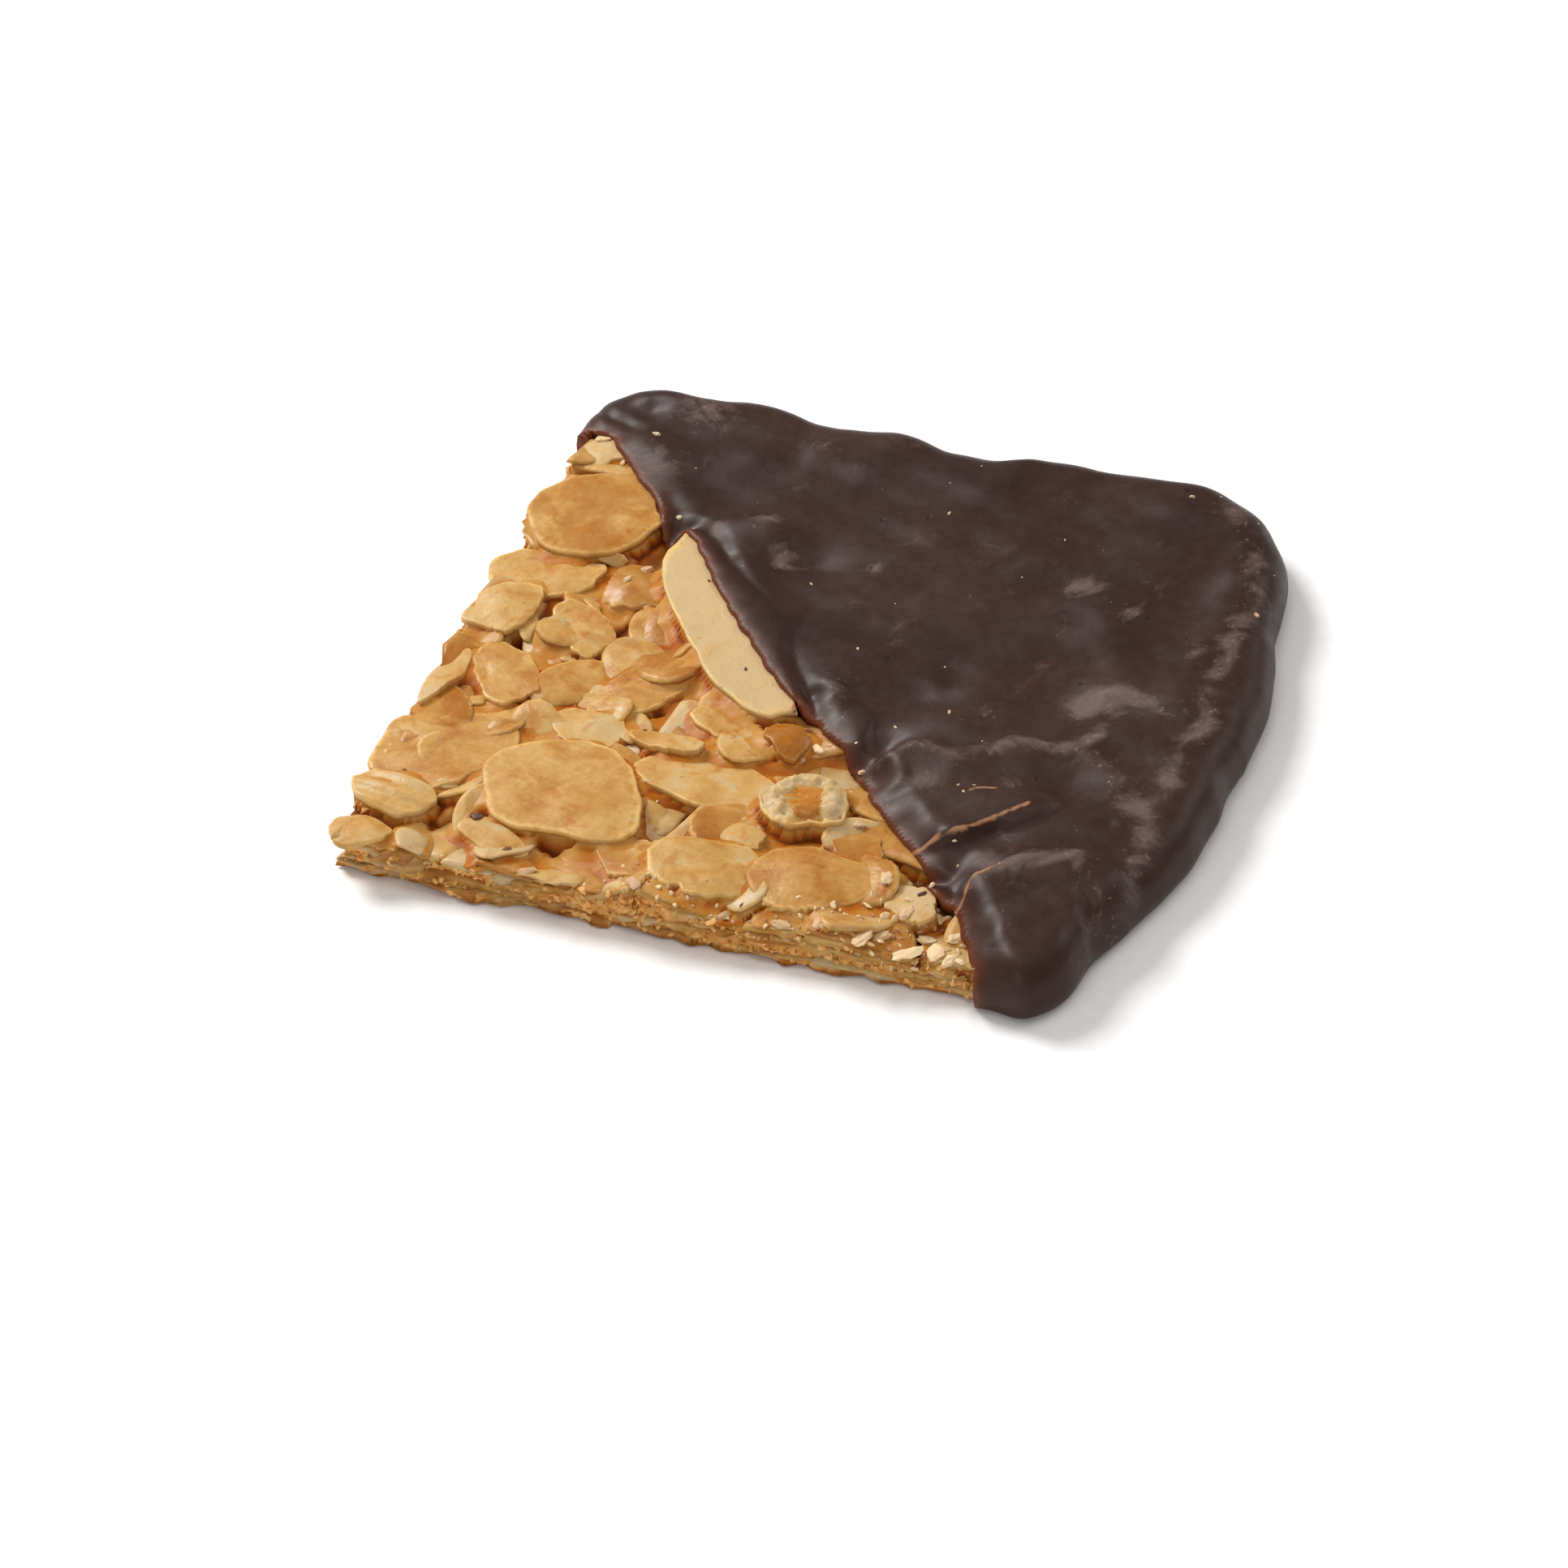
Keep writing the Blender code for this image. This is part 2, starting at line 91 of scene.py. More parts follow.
# Dents: middle, radius, depth.
DENTS = (
    ((8.6, -8.9), 1.4, 0.75), ((-24.5, 25.0), 1.3, 0.40), ((-16.6, 11.4), 0.9, 0.6),
    ((24.0, -9.8), 2.6, 0.35), ((4.0, 6.5), 4.0, 0.28), ((-9.0, 18.0), 4.0, 0.25),
    ((16.0, 18.0), 4.5, 0.30), ((12.5, -20.6), 1.0, 0.25), ((18.2, -19.6), 1.6, 0.70),
    ((26.6, 13.5), 2.8, 0.35), ((-4.0, 10.5), 2.2, 0.25), ((28.0, -12.9), 0.35, 0.5),
    ((11.0, 1.0), 3.0, 0.22), ((9.0, 13.5), 3.2, 0.22),
)


# ---------------------------------------------------------------- plain helpers

def tint(red, green, blue):
    """A linear colour from the display values 0 to 255 that a swatch is read in."""
    swatch = []
    for value in (red, green, blue):
        share = value / 255
        swatch.append(share / 12.92 if share <= 0.04045 else ((share + 0.055) / 1.055) ** 2.4)
    return (*swatch, 1.0)


def step_up(low, high, value):
    """The value's way from low to high as a smooth share, clamped."""
    share = np.clip((value - low) / (high - low), 0.0, 1.0)
    return share * share * (3 - 2 * share)


def ripple(x, y, size, seed, waves=9):
    """Smooth uneven height between about -1 and 1, with humps of the given size."""
    draw = np.random.default_rng(seed)
    total = np.zeros_like(np.asarray(x, float))
    for _ in range(waves):
        heading = draw.uniform(0, 2 * math.pi)
        length = size * draw.uniform(1.3, 3.2)
        phase = draw.uniform(0, 2 * math.pi)
        along = np.cos(heading) * x + np.sin(heading) * y
        total = total + np.sin(2 * math.pi * along / length + phase)
    return total / math.sqrt(waves)


def wobble(along, size, seed):
    """The same for a line, given its points' lengths along it."""
    return ripple(along, 0 * along, size, seed)


def mound(x, y, spot_x, spot_y, radius):
    """1 at a spot, fading to 0 over about the radius around it."""
    return np.exp(-((x - spot_x) ** 2 + (y - spot_y) ** 2) / radius ** 2)


def curve_through(points, steps):
    """Points along a smooth curve through a few places."""
    places = np.array(points, float)
    ends = np.vstack([2 * places[0] - places[1], places, 2 * places[-1] - places[-2]])
    drawn = []
    for before, start, end, after in zip(ends, ends[1:], ends[2:], ends[3:]):
        for t in np.arange(steps) / steps:
            drawn.append(0.5 * (2 * start + (end - before) * t
                                + (2 * before - 5 * start + 4 * end - after) * t ** 2
                                + (3 * start - before - 3 * end + after) * t ** 3))
    drawn.append(places[-1])
    return np.array(drawn)


def frayed(line, amount, seed):
    """The line with small uneven steps across its own direction."""
    run = np.gradient(line, axis=0)
    normal = np.stack([-run[:, 1], run[:, 0]], 1) / np.linalg.norm(run, axis=1)[:, None]
    length = np.cumsum(np.linalg.norm(run, axis=1))
    wander = wobble(length, 0.9, seed) + 0.5 * wobble(length, 0.35, seed + 1)
    return line + normal * (wander * amount)[:, None]


BORDER = frayed(curve_through(BORDER_POINTS, 8), 0.09, 4)


def border_distance(x, y):
    """Distance from the chocolate's border, above 0 on the dipped side."""
    spots = np.stack([np.ravel(x), np.ravel(y)], 1)
    nearest = np.full(len(spots), 1e9)
    signed = np.zeros(len(spots))
    for start, end in zip(BORDER, BORDER[1:]):
        run = end - start
        away = spots - start
        share = np.clip(away @ run / (run @ run), 0, 1)
        away = away - share[:, None] * run
        gap = np.hypot(away[:, 0], away[:, 1])
        side = np.sign(run[0] * away[:, 1] - run[1] * away[:, 0])
        closer = gap < nearest
        nearest = np.where(closer, gap, nearest)
        signed = np.where(closer, gap * np.where(side == 0, 1, side), signed)
    return signed.reshape(np.shape(x))


def blur(field, reach):
    """The field averaged over a bell of the given reach in cells."""
    half = int(math.ceil(reach * 3))
    bell = np.exp(-0.5 * (np.arange(-half, half + 1) / reach) ** 2)
    bell /= bell.sum()
    for axis in (0, 1):
        padded = np.pad(field, [(half, half) if a == axis else (0, 0) for a in (0, 1)], "edge")
        field = np.apply_along_axis(lambda row: np.convolve(row, bell, "valid"), axis, padded)
    return field


def widened(field, cells):
    """Every value replaced by the largest one within that many cells."""
    for axis in (0, 1):
        padded = np.pad(field, [(cells, cells) if a == axis else (0, 0) for a in (0, 1)], "edge")
        windows = np.lib.stride_tricks.sliding_window_view(padded, 2 * cells + 1, axis=axis)
        field = windows.max(axis=-1)
    return field


def points_of(piece):
    """A piece's points in millimetres from the middle of the square."""
    points = np.zeros(len(piece.data.vertices) * 3)
    piece.data.vertices.foreach_get("co", points)
    return (points.reshape(-1, 3) - np.array(MIDDLE)) / MM


def shown(name, data):
    """A new object in the scene with that mesh, light or camera."""
    piece = bpy.data.objects.new(name, data)
    bpy.context.scene.collection.objects.link(piece)
    return piece


def mesh_piece(name, points, faces, look):
    """A new object from points in millimetres, put in its place in the frame."""
    mesh = bpy.data.meshes.new(name)
    mesh.from_pydata(np.asarray(points, float) * MM + np.array(MIDDLE), [], faces)
    mesh.materials.append(look)
    mesh.shade_smooth()
    return shown(name, mesh)


def bmesh_piece(name, bm, look):
    """The same from a bmesh in millimetres, which is used up."""
    mesh = bpy.data.meshes.new(name)
    bm.to_mesh(mesh)
    bm.free()
    mesh.transform(Matrix.Translation(MIDDLE) @ Matrix.Scale(MM, 4))
    mesh.materials.append(look)
    mesh.shade_smooth()
    return shown(name, mesh)


def settled_mesh(piece, name):
    """A plain mesh of the piece as its modifiers leave it."""
    bpy.context.view_layer.update()
    settled = piece.evaluated_get(bpy.context.evaluated_depsgraph_get())
    mesh = bpy.data.meshes.new_from_object(settled)
    mesh.name = name
    return mesh


def set_values(piece, name, values):
    """A number for every point of the piece, or one for all, which its finish reads by name."""
    layer = piece.data.attributes.new(name, "FLOAT", "POINT")
    layer.data.foreach_set("value", np.full(len(layer.data), values, np.float32))


def tree_of(pieces):
    """The pieces' surfaces for ray casts, in millimetres from the middle of the square."""
    points = []
    faces = []
    for piece in pieces:
        first = len(points)
        for vert in piece.data.vertices:
            points.append((vert.co - MIDDLE) / MM)
        for face in piece.data.polygons:
            faces.append([first + corner for corner in face.vertices])
    return BVHTree.FromPolygons(points, faces)


def face_outwards(bm):
    """Turns every face of a closed mesh outwards."""
    bmesh.ops.recalc_face_normals(bm, faces=bm.faces[:])
    if bm.calc_volume(signed=True) < 0:
        bmesh.ops.reverse_faces(bm, faces=bm.faces[:])


HIGH_ABOVE = 40.0              # where rays that look for a surface below start


def tops(tree, x, y, missing):
    """Height of the highest surface at each place, or the missing value."""
    down = Vector((0, 0, -1))
    heights = np.full(len(x), float(missing))
    for k in range(len(x)):
        hit = tree.ray_cast(Vector((x[k], y[k], HIGH_ABOVE)), down)[0]
        if hit:
            heights[k] = hit.z
    return heights


def shown_by(piece, slot, *nodes):
    """The piece moves with the florentine and stands for those solids of the frame."""
    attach(piece, "root")
    if nodes:
        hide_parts(*nodes)


# ---------------------------------------------------------------- finishes

class Field:
    """A value or colour in a finish; sums and products of fields add the nodes for them."""

    def __init__(self, tree, socket):
        self.tree = tree
        self.socket = socket

    def _math(self, operation, *values):
        """The result of one maths node on fields or plain numbers."""
        node = self.tree.nodes.new("ShaderNodeMath")
        node.operation = operation
        for socket, value in zip(node.inputs, values):
            feed(self.tree, socket, value)
        return Field(self.tree, node.outputs[0])

    def __add__(self, other):
        return self._math("ADD", self, other)

    def __sub__(self, other):
        return self._math("SUBTRACT", self, other)

    def __rsub__(self, other):
        return self._math("SUBTRACT", other, self)

    def __mul__(self, other):
        return self._math("MULTIPLY", self, other)

    __radd__ = __add__
    __rmul__ = __mul__

    def clipped(self):
        return self._math("MINIMUM", self._math("MAXIMUM", self, 0.0), 1.0)


def socket_name(word):
    """A shader socket's own name from a keyword, such as base_color or ior."""
    return word.replace("_", " ").title().replace("Ior", "IOR")


def feed(tree, socket, value):
    """Link a field to a socket, or set a plain value on it."""
    if isinstance(value, Field):
        tree.links.new(value.socket, socket)
    else:
        socket.default_value = value


class Finish:
    """A material being made, with the patterns that this florentine's finishes share."""

    def __init__(self, name, **constants):
        self.material = bpy.data.materials.new(name)
        self.material.use_nodes = True
        self.tree = self.material.node_tree
        self.shader = self.tree.nodes["Principled BSDF"]
        for socket, value in constants.items():
            self.shader.inputs[socket_name(socket)].default_value = value

    def node(self, kind, settings=None, sockets=None, output=0):
        """One of a new node's outputs, with the node's settings and sockets filled in."""
        made = self.tree.nodes.new(kind)
        for key, value in (settings or {}).items():
            if key == "stops":
                ramp = made.color_ramp
                while len(ramp.elements) < len(value):
                    ramp.elements.new(0.5)
                for element, (position, colour) in zip(ramp.elements, value):
                    element.position = position
                    element.color = colour
            else:
                setattr(made, key, value)
        for key, value in (sockets or {}).items():
            feed(self.tree, made.inputs[key], value)
        return Field(self.tree, made.outputs[output])

    def place(self):
        return self.node("ShaderNodeTexCoord", output="Object")

    def value(self, name):
        """The piece's own number of that name at each point."""
        return self.node("ShaderNodeAttribute", {"attribute_name": name}, output="Fac")

    def clouds(self, size, detail=3.0, roughness=0.5, warp=0.0):
        """Soft noise between 0 and 1 with patches of about that size in millimetres."""
        return self.node("ShaderNodeTexNoise", None, {
            "Vector": self.place(), "Scale": 1 / (size * MM), "Detail": detail,
            "Roughness": roughness, "Distortion": warp})

    def cells(self, size):
        """Distance to the nearest of many scattered points, for specks and bubbles."""
        return self.node("ShaderNodeTexVoronoi", None, {
            "Vector": self.place(), "Scale": 1 / (size * MM)}, output="Distance")

    def ramp(self, value, *stops):
        """A colour from the value through stops of position and colour."""
        return self.node("ShaderNodeValToRGB", {"stops": stops}, {"Fac": value})

    def between(self, value, low, high, start=0.0, end=1.0):
        """The value's way from low to high as a smooth share, clamped."""
        return self.node("ShaderNodeMapRange", {"interpolation_type": "SMOOTHSTEP"}, {
            "Value": value, "From Min": low, "From Max": high, "To Min": start,
            "To Max": end})

    def blend(self, share, first, second):
        """The first colour with that share of the second over it."""
        made = self.tree.nodes.new("ShaderNodeMix")
        made.data_type = "RGBA"
        feed(self.tree, made.inputs[0], share)
        feed(self.tree, made.inputs[6], first)
        feed(self.tree, made.inputs[7], second)
        return Field(self.tree, made.outputs[2])

    def bumped(self, height, depth):
        """A normal roughened by a height pattern whose full swing is the depth in mm."""
        return self.node("ShaderNodeBump", None, {
            "Height": height, "Distance": depth * MM, "Strength": 1.0})

    def done(self, **varying):
        """The finished material, with fields on the shader's varying inputs."""
        for socket, value in varying.items():
            feed(self.tree, self.shader.inputs[socket_name(socket)], value)
        return self.material


CREAM = tint(194, 166, 120)
# Pale gold that is painted along the slices' rims as a highlight.
RIM_HIGHLIGHT = tint(222, 180, 108)
PALE_ALMOND = tint(194, 152, 88)
TAN_ALMOND = tint(180, 130, 62)
TOASTED = tint(164, 104, 38)
AMBER = tint(150, 86, 20)
BURNT = tint(102, 44, 3)
SKIN = tint(72, 38, 24)


def almond_finish():
    """Sliced almond: a toasted, faintly fibrous face, a painted highlight along the rim and patches
    of glaze.
    """
    made = Finish("sliced_almond", ior=1.46, specular_ior_level=0.25, subsurface_weight=0.22,
                  subsurface_scale=0.8 * MM, subsurface_radius=(1.0, 0.85, 0.6), coat_roughness=0.2)
    tone = made.value("tone")
    rim = made.value("rim")
    glaze = made.value("glaze")
    grain_place = made.node("ShaderNodeUVMap", {"uv_map": "grain"})
    stretched = made.node("ShaderNodeMapping", None, {"Vector": grain_place,
                                                      "Scale": (0.35, 1.6, 1.0)})
    fibres = made.node("ShaderNodeTexNoise", None, {"Vector": stretched, "Scale": 1.6,
                                                    "Detail": 4.0, "Roughness": 0.6})
    patches = made.clouds(2.6, 4.0, 0.6, warp=0.5)
    fine = made.clouds(0.5, 4.0, 0.6)
    contrast = made.between(tone, 0.05, 0.30, 0.75, 1.35)
    shade = tone * 1.3 - 0.14 + (patches - 0.5) * contrast + (fibres - 0.5) * 0.3
    shade = shade + (fine - 0.5) * 0.25
    face = made.ramp(shade.clipped(), (0.0, CREAM), (0.22, PALE_ALMOND), (0.48, TAN_ALMOND),
                     (0.74, TOASTED), (1.0, AMBER))
    # Painted highlight: the rims are lightened towards pale gold, in patches.
    edge = made.between(rim + (fine - 0.5) * 0.2, 0.90, 0.99)
    wear_and_highlight = made.between(made.clouds(3.0, 2.0, 0.5, warp=0.3), 0.36, 0.60)
    face = made.blend(edge * (wear_and_highlight * 0.65 + 0.15), face, RIM_HIGHLIGHT)
    film = made.between(made.clouds(3.6, 3.0, 0.55, warp=0.6) + glaze, 0.60, 0.80)
    face = made.blend(film * 0.38, face, AMBER)
    stain = made.between(made.clouds(1.5, 3.0, 0.55, warp=0.4), 0.57, 0.70)
    face = made.blend((stain * (glaze + 0.42)).clipped(), face, tint(172, 98, 22))
    dots = 1 - made.between(made.cells(1.6) + made.clouds(3.0) * 0.2, 0.12, 0.20)
    face = made.blend(dots * 0.35, face, SKIN)
    relief = fibres * 0.3 + fine * 0.5 + patches * 0.4
    normal = made.bumped(relief * (1 - film * 0.5), 0.10)
    gloss = made.between(patches, 0.25, 0.75, 0.30, 0.48) - film * 0.14
    return made.done(base_color=face, roughness=gloss, coat_weight=film * 0.10, normal=normal)


def caramel_finish():
    """Caramel set between the slices: tan where thin, amber to brown where it is deep, with painted
    shade in the crevices.
    """
    made = Finish("set_caramel", ior=1.49, subsurface_weight=0.12, subsurface_scale=0.8 * MM,
                  subsurface_radius=(1.0, 0.8, 0.5), specular_ior_level=0.08,
                  coat_roughness=0.16)
    depth = made.value("depth")
    crumb = made.value("crumb")
    broad = made.clouds(2.6, 3.0, 0.55, warp=0.5)
    fine = made.clouds(0.6, 4.0, 0.6)
    # Deep caramel is darker amber; part of the depth value is painted shade in the crevices beside
    # the slices.
    shade = depth + (broad - 0.5) * 0.8 + (fine - 0.5) * 0.16
    colour = made.ramp(shade.clipped(), (0.0, tint(186, 136, 72)),
                       (0.22, tint(178, 118, 46)), (0.45, tint(168, 92, 20)),
                       (0.72, tint(138, 66, 6)), (1.0, BURNT))
    pale = made.ramp(made.clouds(0.9, 4.0, 0.65), (0.25, tint(168, 92, 34)),
                     (0.45, tint(212, 146, 70)), (0.7, tint(236, 194, 126)))
    colour = made.blend(crumb, colour, pale)
    bubbles = 1 - made.between(made.cells(0.9), 0.10, 0.22)
    normal = made.bumped(fine * (crumb * 1.4 + 0.3) + broad * 0.6 - bubbles * 0.3, 0.10)
    gloss = made.between(broad, 0.3, 0.7, 0.30, 0.46) + crumb * 0.3
    coat = (1 - depth) * (1 - crumb) * 0.05
    return made.done(base_color=colour, roughness=gloss, coat_weight=coat, normal=normal)


def chocolate_finish():
    """Dark chocolate: satin, with faint bloom and painted sheen, a painted highlight down the
    right rim, thin reddish places and scuffed fold crests.
    """
    made = Finish("dark_chocolate", ior=1.47, specular_ior_level=0.23)
    thin = made.value("thin")
    scuff = made.value("scuff")
    haze = made.value("haze")
    broad = made.clouds(11.0, 3.0, 0.5, warp=0.3)
    fine = made.clouds(1.1, 5.0, 0.62)
    grain = made.clouds(0.35, 3.0, 0.6)
    colour = made.ramp(broad * 0.7 + fine * 0.3, (0.30, tint(40, 19, 13)),
                       (0.50, tint(49, 27, 19)), (0.70, tint(60, 38, 29)))
    red_spots = made.between(made.clouds(4.4, 2.0, 0.5, warp=0.8), 0.66, 0.78)
    colour = made.blend(red_spots * 0.4, colour, tint(78, 32, 22))
    # Pale greyish patches and lines: partly the chocolate's bloom, partly painted sheen on the
    # swells and a painted highlight line down the right rim.
    drift = made.clouds(4.2, 7.0, 0.66, warp=0.6)
    bloom_and_sheen = made.between((drift - 0.5) * 3.0 + haze * 0.66, 0.24, 1.05)
    colour = made.blend(bloom_and_sheen * 0.66, colour, tint(112, 92, 85))
    dust = made.between(made.clouds(0.5, 3.0, 0.6), 0.60, 0.70)
    colour = made.blend(dust * haze * 0.35, colour, tint(150, 128, 114))
    colour = made.blend(thin * 0.75, colour, tint(118, 58, 28))
    rubbed = made.between(scuff + (fine - 0.5) * 0.7, 0.42, 0.85)
    colour = made.blend(rubbed * 0.8, colour, tint(168, 118, 82))
    # The pinholes are dented in the relief and darkened with painted shade.
    pits = 1 - made.between(made.cells(4.6), 0.035, 0.065)
    colour = made.blend(pits * 0.8, colour, tint(30, 14, 12))
    relief = fine * 0.5 + grain * 0.18 - pits * 0.8 + rubbed * grain * 0.8
    normal = made.bumped(relief, 0.035)
    gloss = made.between(fine, 0.3, 0.7, 0.39, 0.49) + bloom_and_sheen * 0.12 + rubbed * 0.2
    return made.done(base_color=colour, roughness=gloss, normal=normal)


def bit_finish(name, dark, light, roughness):
    """Crumbs, grains and flecks: one colour range, picked by each bit's own tone."""
    made = Finish(name, ior=1.46, subsurface_weight=0.2, subsurface_scale=0.5 * MM)
    fine = made.clouds(0.3, 3.0, 0.6)
    shade = made.value("tone") * 0.8 + fine * 0.3
    colour = made.ramp(shade.clipped(), (0.15, dark), (0.85, light))
    return made.done(base_color=colour, roughness=fine * 0.2 + roughness,
                     normal=made.bumped(fine, 0.06))


# ---------------------------------------------------------------- small things by rule

class Recipe:
    """A Geometry Nodes tree being made, with its named inputs."""

    def __init__(self, name):
        self.group = bpy.data.node_groups.new(name, "GeometryNodeTree")
        self.group.interface.new_socket("Geometry", in_out="INPUT",
                                        socket_type="NodeSocketGeometry")
        self.group.interface.new_socket("Geometry", in_out="OUTPUT",
                                        socket_type="NodeSocketGeometry")
        self.entry = self.group.nodes.new("NodeGroupInput")
        self.exit = self.group.nodes.new("NodeGroupOutput")
        self.inputs = {}

    def wants(self, name, kind):
        """Adds a named input and gives its socket inside the tree."""
        socket = self.group.interface.new_socket(name, in_out="INPUT",
                                                 socket_type="NodeSocket" + kind)
        self.inputs[name] = socket.identifier
        return self.entry.outputs[name]

    def node(self, kind, settings=None, sockets=None, output=0):
        """One of a new node's outputs, with the node's settings and sockets filled in."""
        made = self.group.nodes.new(kind)
        for key, value in (settings or {}).items():
            setattr(made, key, value)
        for key, value in (sockets or {}).items():
            if isinstance(value, bpy.types.NodeSocket):
                self.group.links.new(value, made.inputs[key])
            else:
                made.inputs[key].default_value = value
        return made.outputs[output]

    def random(self, kind, low, high, seed):
        """A random value for each bit; kind is FLOAT or FLOAT_VECTOR."""
        first, output = {"FLOAT_VECTOR": (0, 0), "FLOAT": (2, 1)}[kind]
        return self.node("FunctionNodeRandomValue", {"data_type": kind},
                         {first: low, first + 1: high, "Seed": seed}, output)

    def finish(self, geometry):
        self.group.links.new(geometry, self.exit.inputs["Geometry"])
        return self.group


def scatter_recipe():
    """Scatters bits over faces, each turned and sized at random, and makes them real."""
    recipe = Recipe("scattered_bits")
    shapes = recipe.wants("Shapes", "Collection")
    density = recipe.wants("Bits per square metre", "Float")
    spacing = recipe.wants("Least spacing", "Float")
    seed = recipe.wants("Seed", "Int")
    smallest = recipe.wants("Smallest", "Float")
    largest = recipe.wants("Largest", "Float")
    lean = recipe.wants("Lean", "Float")
    look = recipe.wants("Finish", "Material")
    spots = recipe.node("GeometryNodeDistributePointsOnFaces", {"distribute_method": "POISSON"}, {
        "Mesh": recipe.entry.outputs["Geometry"], "Distance Min": spacing,
        "Density Max": density, "Seed": seed})
    upright = spots.node.outputs["Rotation"]
    bits = recipe.node("GeometryNodeCollectionInfo", None, {
        "Collection": shapes, "Separate Children": True, "Reset Children": True})
    opposite = recipe.node("ShaderNodeMath", {"operation": "MULTIPLY"}, {0: lean, 1: -1.0})
    low = recipe.node("ShaderNodeCombineXYZ", None, {"X": opposite, "Y": opposite, "Z": 0.0})
    high = recipe.node("ShaderNodeCombineXYZ", None, {"X": lean, "Y": lean, "Z": 2 * math.pi})
    turn = recipe.random("FLOAT_VECTOR", low, high, seed)
    turned = recipe.node("FunctionNodeRotateRotation", {"rotation_space": "LOCAL"}, {
        "Rotation": upright, "Rotate By": turn})
    size = recipe.random("FLOAT", smallest, largest, seed)
    placed = recipe.node("GeometryNodeInstanceOnPoints", None, {
        "Points": spots, "Instance": bits, "Pick Instance": True, "Rotation": turned,
        "Scale": size})
    toned = recipe.node("GeometryNodeStoreNamedAttribute", {
        "data_type": "FLOAT", "domain": "INSTANCE"}, {
        "Geometry": placed, "Name": "tone", "Value": recipe.random("FLOAT", 0.0, 1.0, seed)})
    real = recipe.node("GeometryNodeRealizeInstances", None, {"Geometry": toned})
    dressed = recipe.node("GeometryNodeSetMaterial", None, {"Geometry": real, "Material": look})
    return recipe, recipe.finish(dressed)


SCATTER, SCATTER_TREE = scatter_recipe()


def scatter(name, ground, shapes, look, smooth=False, **sizes):
    """A plain mesh of bits scattered over a ground object, which is used up."""
    box = bpy.data.collections.new(name + "_shapes")
    bpy.context.scene.collection.children.link(box)
    for shape in shapes:
        box.objects.link(shape)
        bpy.context.scene.collection.objects.unlink(shape)
    values = {"Shapes": box, "Finish": look, "Lean": 3.0, "Seed": 1}
    values.update({key.replace("_", " ").capitalize(): value for key, value in sizes.items()})
    worker = ground.modifiers.new("scatter", "NODES")
    worker.node_group = SCATTER_TREE
    for key, value in values.items():
        worker[SCATTER.inputs[key]] = value
    mesh = settled_mesh(ground, name)
    ground.modifiers.remove(worker)
    for used in (*shapes, ground):
        bpy.data.objects.remove(used)
    bpy.data.collections.remove(box)
    if smooth:
        mesh.shade_smooth()
    else:
        mesh.shade_flat()
    return shown(name, mesh)


def crumb_shapes(name, count, squash=0.75):
    """Angular little lumps, one millimetre long, to be scattered."""
    shapes = []
    for number in range(count):
        draw = np.random.default_rng(50 + number)
        bm = bmesh.new()
        bmesh.ops.create_icosphere(bm, subdivisions=1, radius=0.5 * MM)
        stretch = (draw.uniform(0.7, 1.15), draw.uniform(0.6, 0.95), squash * draw.uniform(0.6, 1))
        for vert in bm.verts:
            pull = draw.uniform(0.72, 1.12)
            vert.co = [part * way * pull for part, way in zip(vert.co, stretch)]
        mesh = bpy.data.meshes.new(f"{name}_{number}")
        bm.to_mesh(mesh)
        bm.free()
        shapes.append(shown(f"{name}_{number}", mesh))
    return shapes


# ---------------------------------------------------------------- almond slices

# The rings of a slice from its middle to its rim and under: share of the radius, height share.
UPPER_RINGS = ((0.22, 1.0), (0.45, 1.0), (0.64, 1.0), (0.80, 1.0), (0.91, 1.0), (0.968, 0.98),
               (0.993, 0.84), (1.0, 0.30))
LOWER_RINGS = ((0.99, -0.45), (0.95, -0.85), (0.60, -1.0))


def slice_points(outline, upper, thickness, segments, rings=UPPER_RINGS + LOWER_RINGS):
    """Points and faces of one slice: rings inside an outline, its upper face given by a
    function of place. Also each point's share of the radius."""
    angles = np.arange(segments) * 2 * math.pi / segments
    radii = outline(angles)
    points = [(0.0, 0.0, float(upper(0.0, 0.0)))]
    shares = [0.0]
    for share, rise in rings:
        x = radii * share * np.cos(angles)
        y = radii * share * np.sin(angles)
        z = upper(x, y) - thickness / 2 * (1 - rise)
        points.extend(zip(x, y, z))
        shares.extend([share if rise > 0 else 0.9] * segments)
    points.append((0.0, 0.0, float(upper(0.0, 0.0)) - thickness))
    shares.append(0.5)
    last = len(points) - 1
    faces = []
    for k in range(segments):
        after = (k + 1) % segments
        faces.append((0, 1 + k, 1 + after))
        for ring in range(len(rings) - 1):
            inner = 1 + ring * segments
            outer = inner + segments
            faces.append((inner + k, outer + k, outer + after, inner + after))
        rim = 1 + (len(rings) - 1) * segments
        faces.append((last, rim + after, rim + k))
    return np.array(points), faces, np.array(shares)


def add_grain_map(mesh, points, heading):
    """Gives a slice a map, along and across the almond, that its fibres follow."""
    uv = mesh.uv_layers.new(name="grain")
    turn = np.array([[math.cos(heading), math.sin(heading)],
                     [-math.sin(heading), math.cos(heading)]])
    flat = points[:, :2] @ turn.T
    corners = np.zeros(len(mesh.loops), int)
    mesh.loops.foreach_get("vertex_index", corners)
    uv.data.foreach_set("uv", flat[corners].ravel())


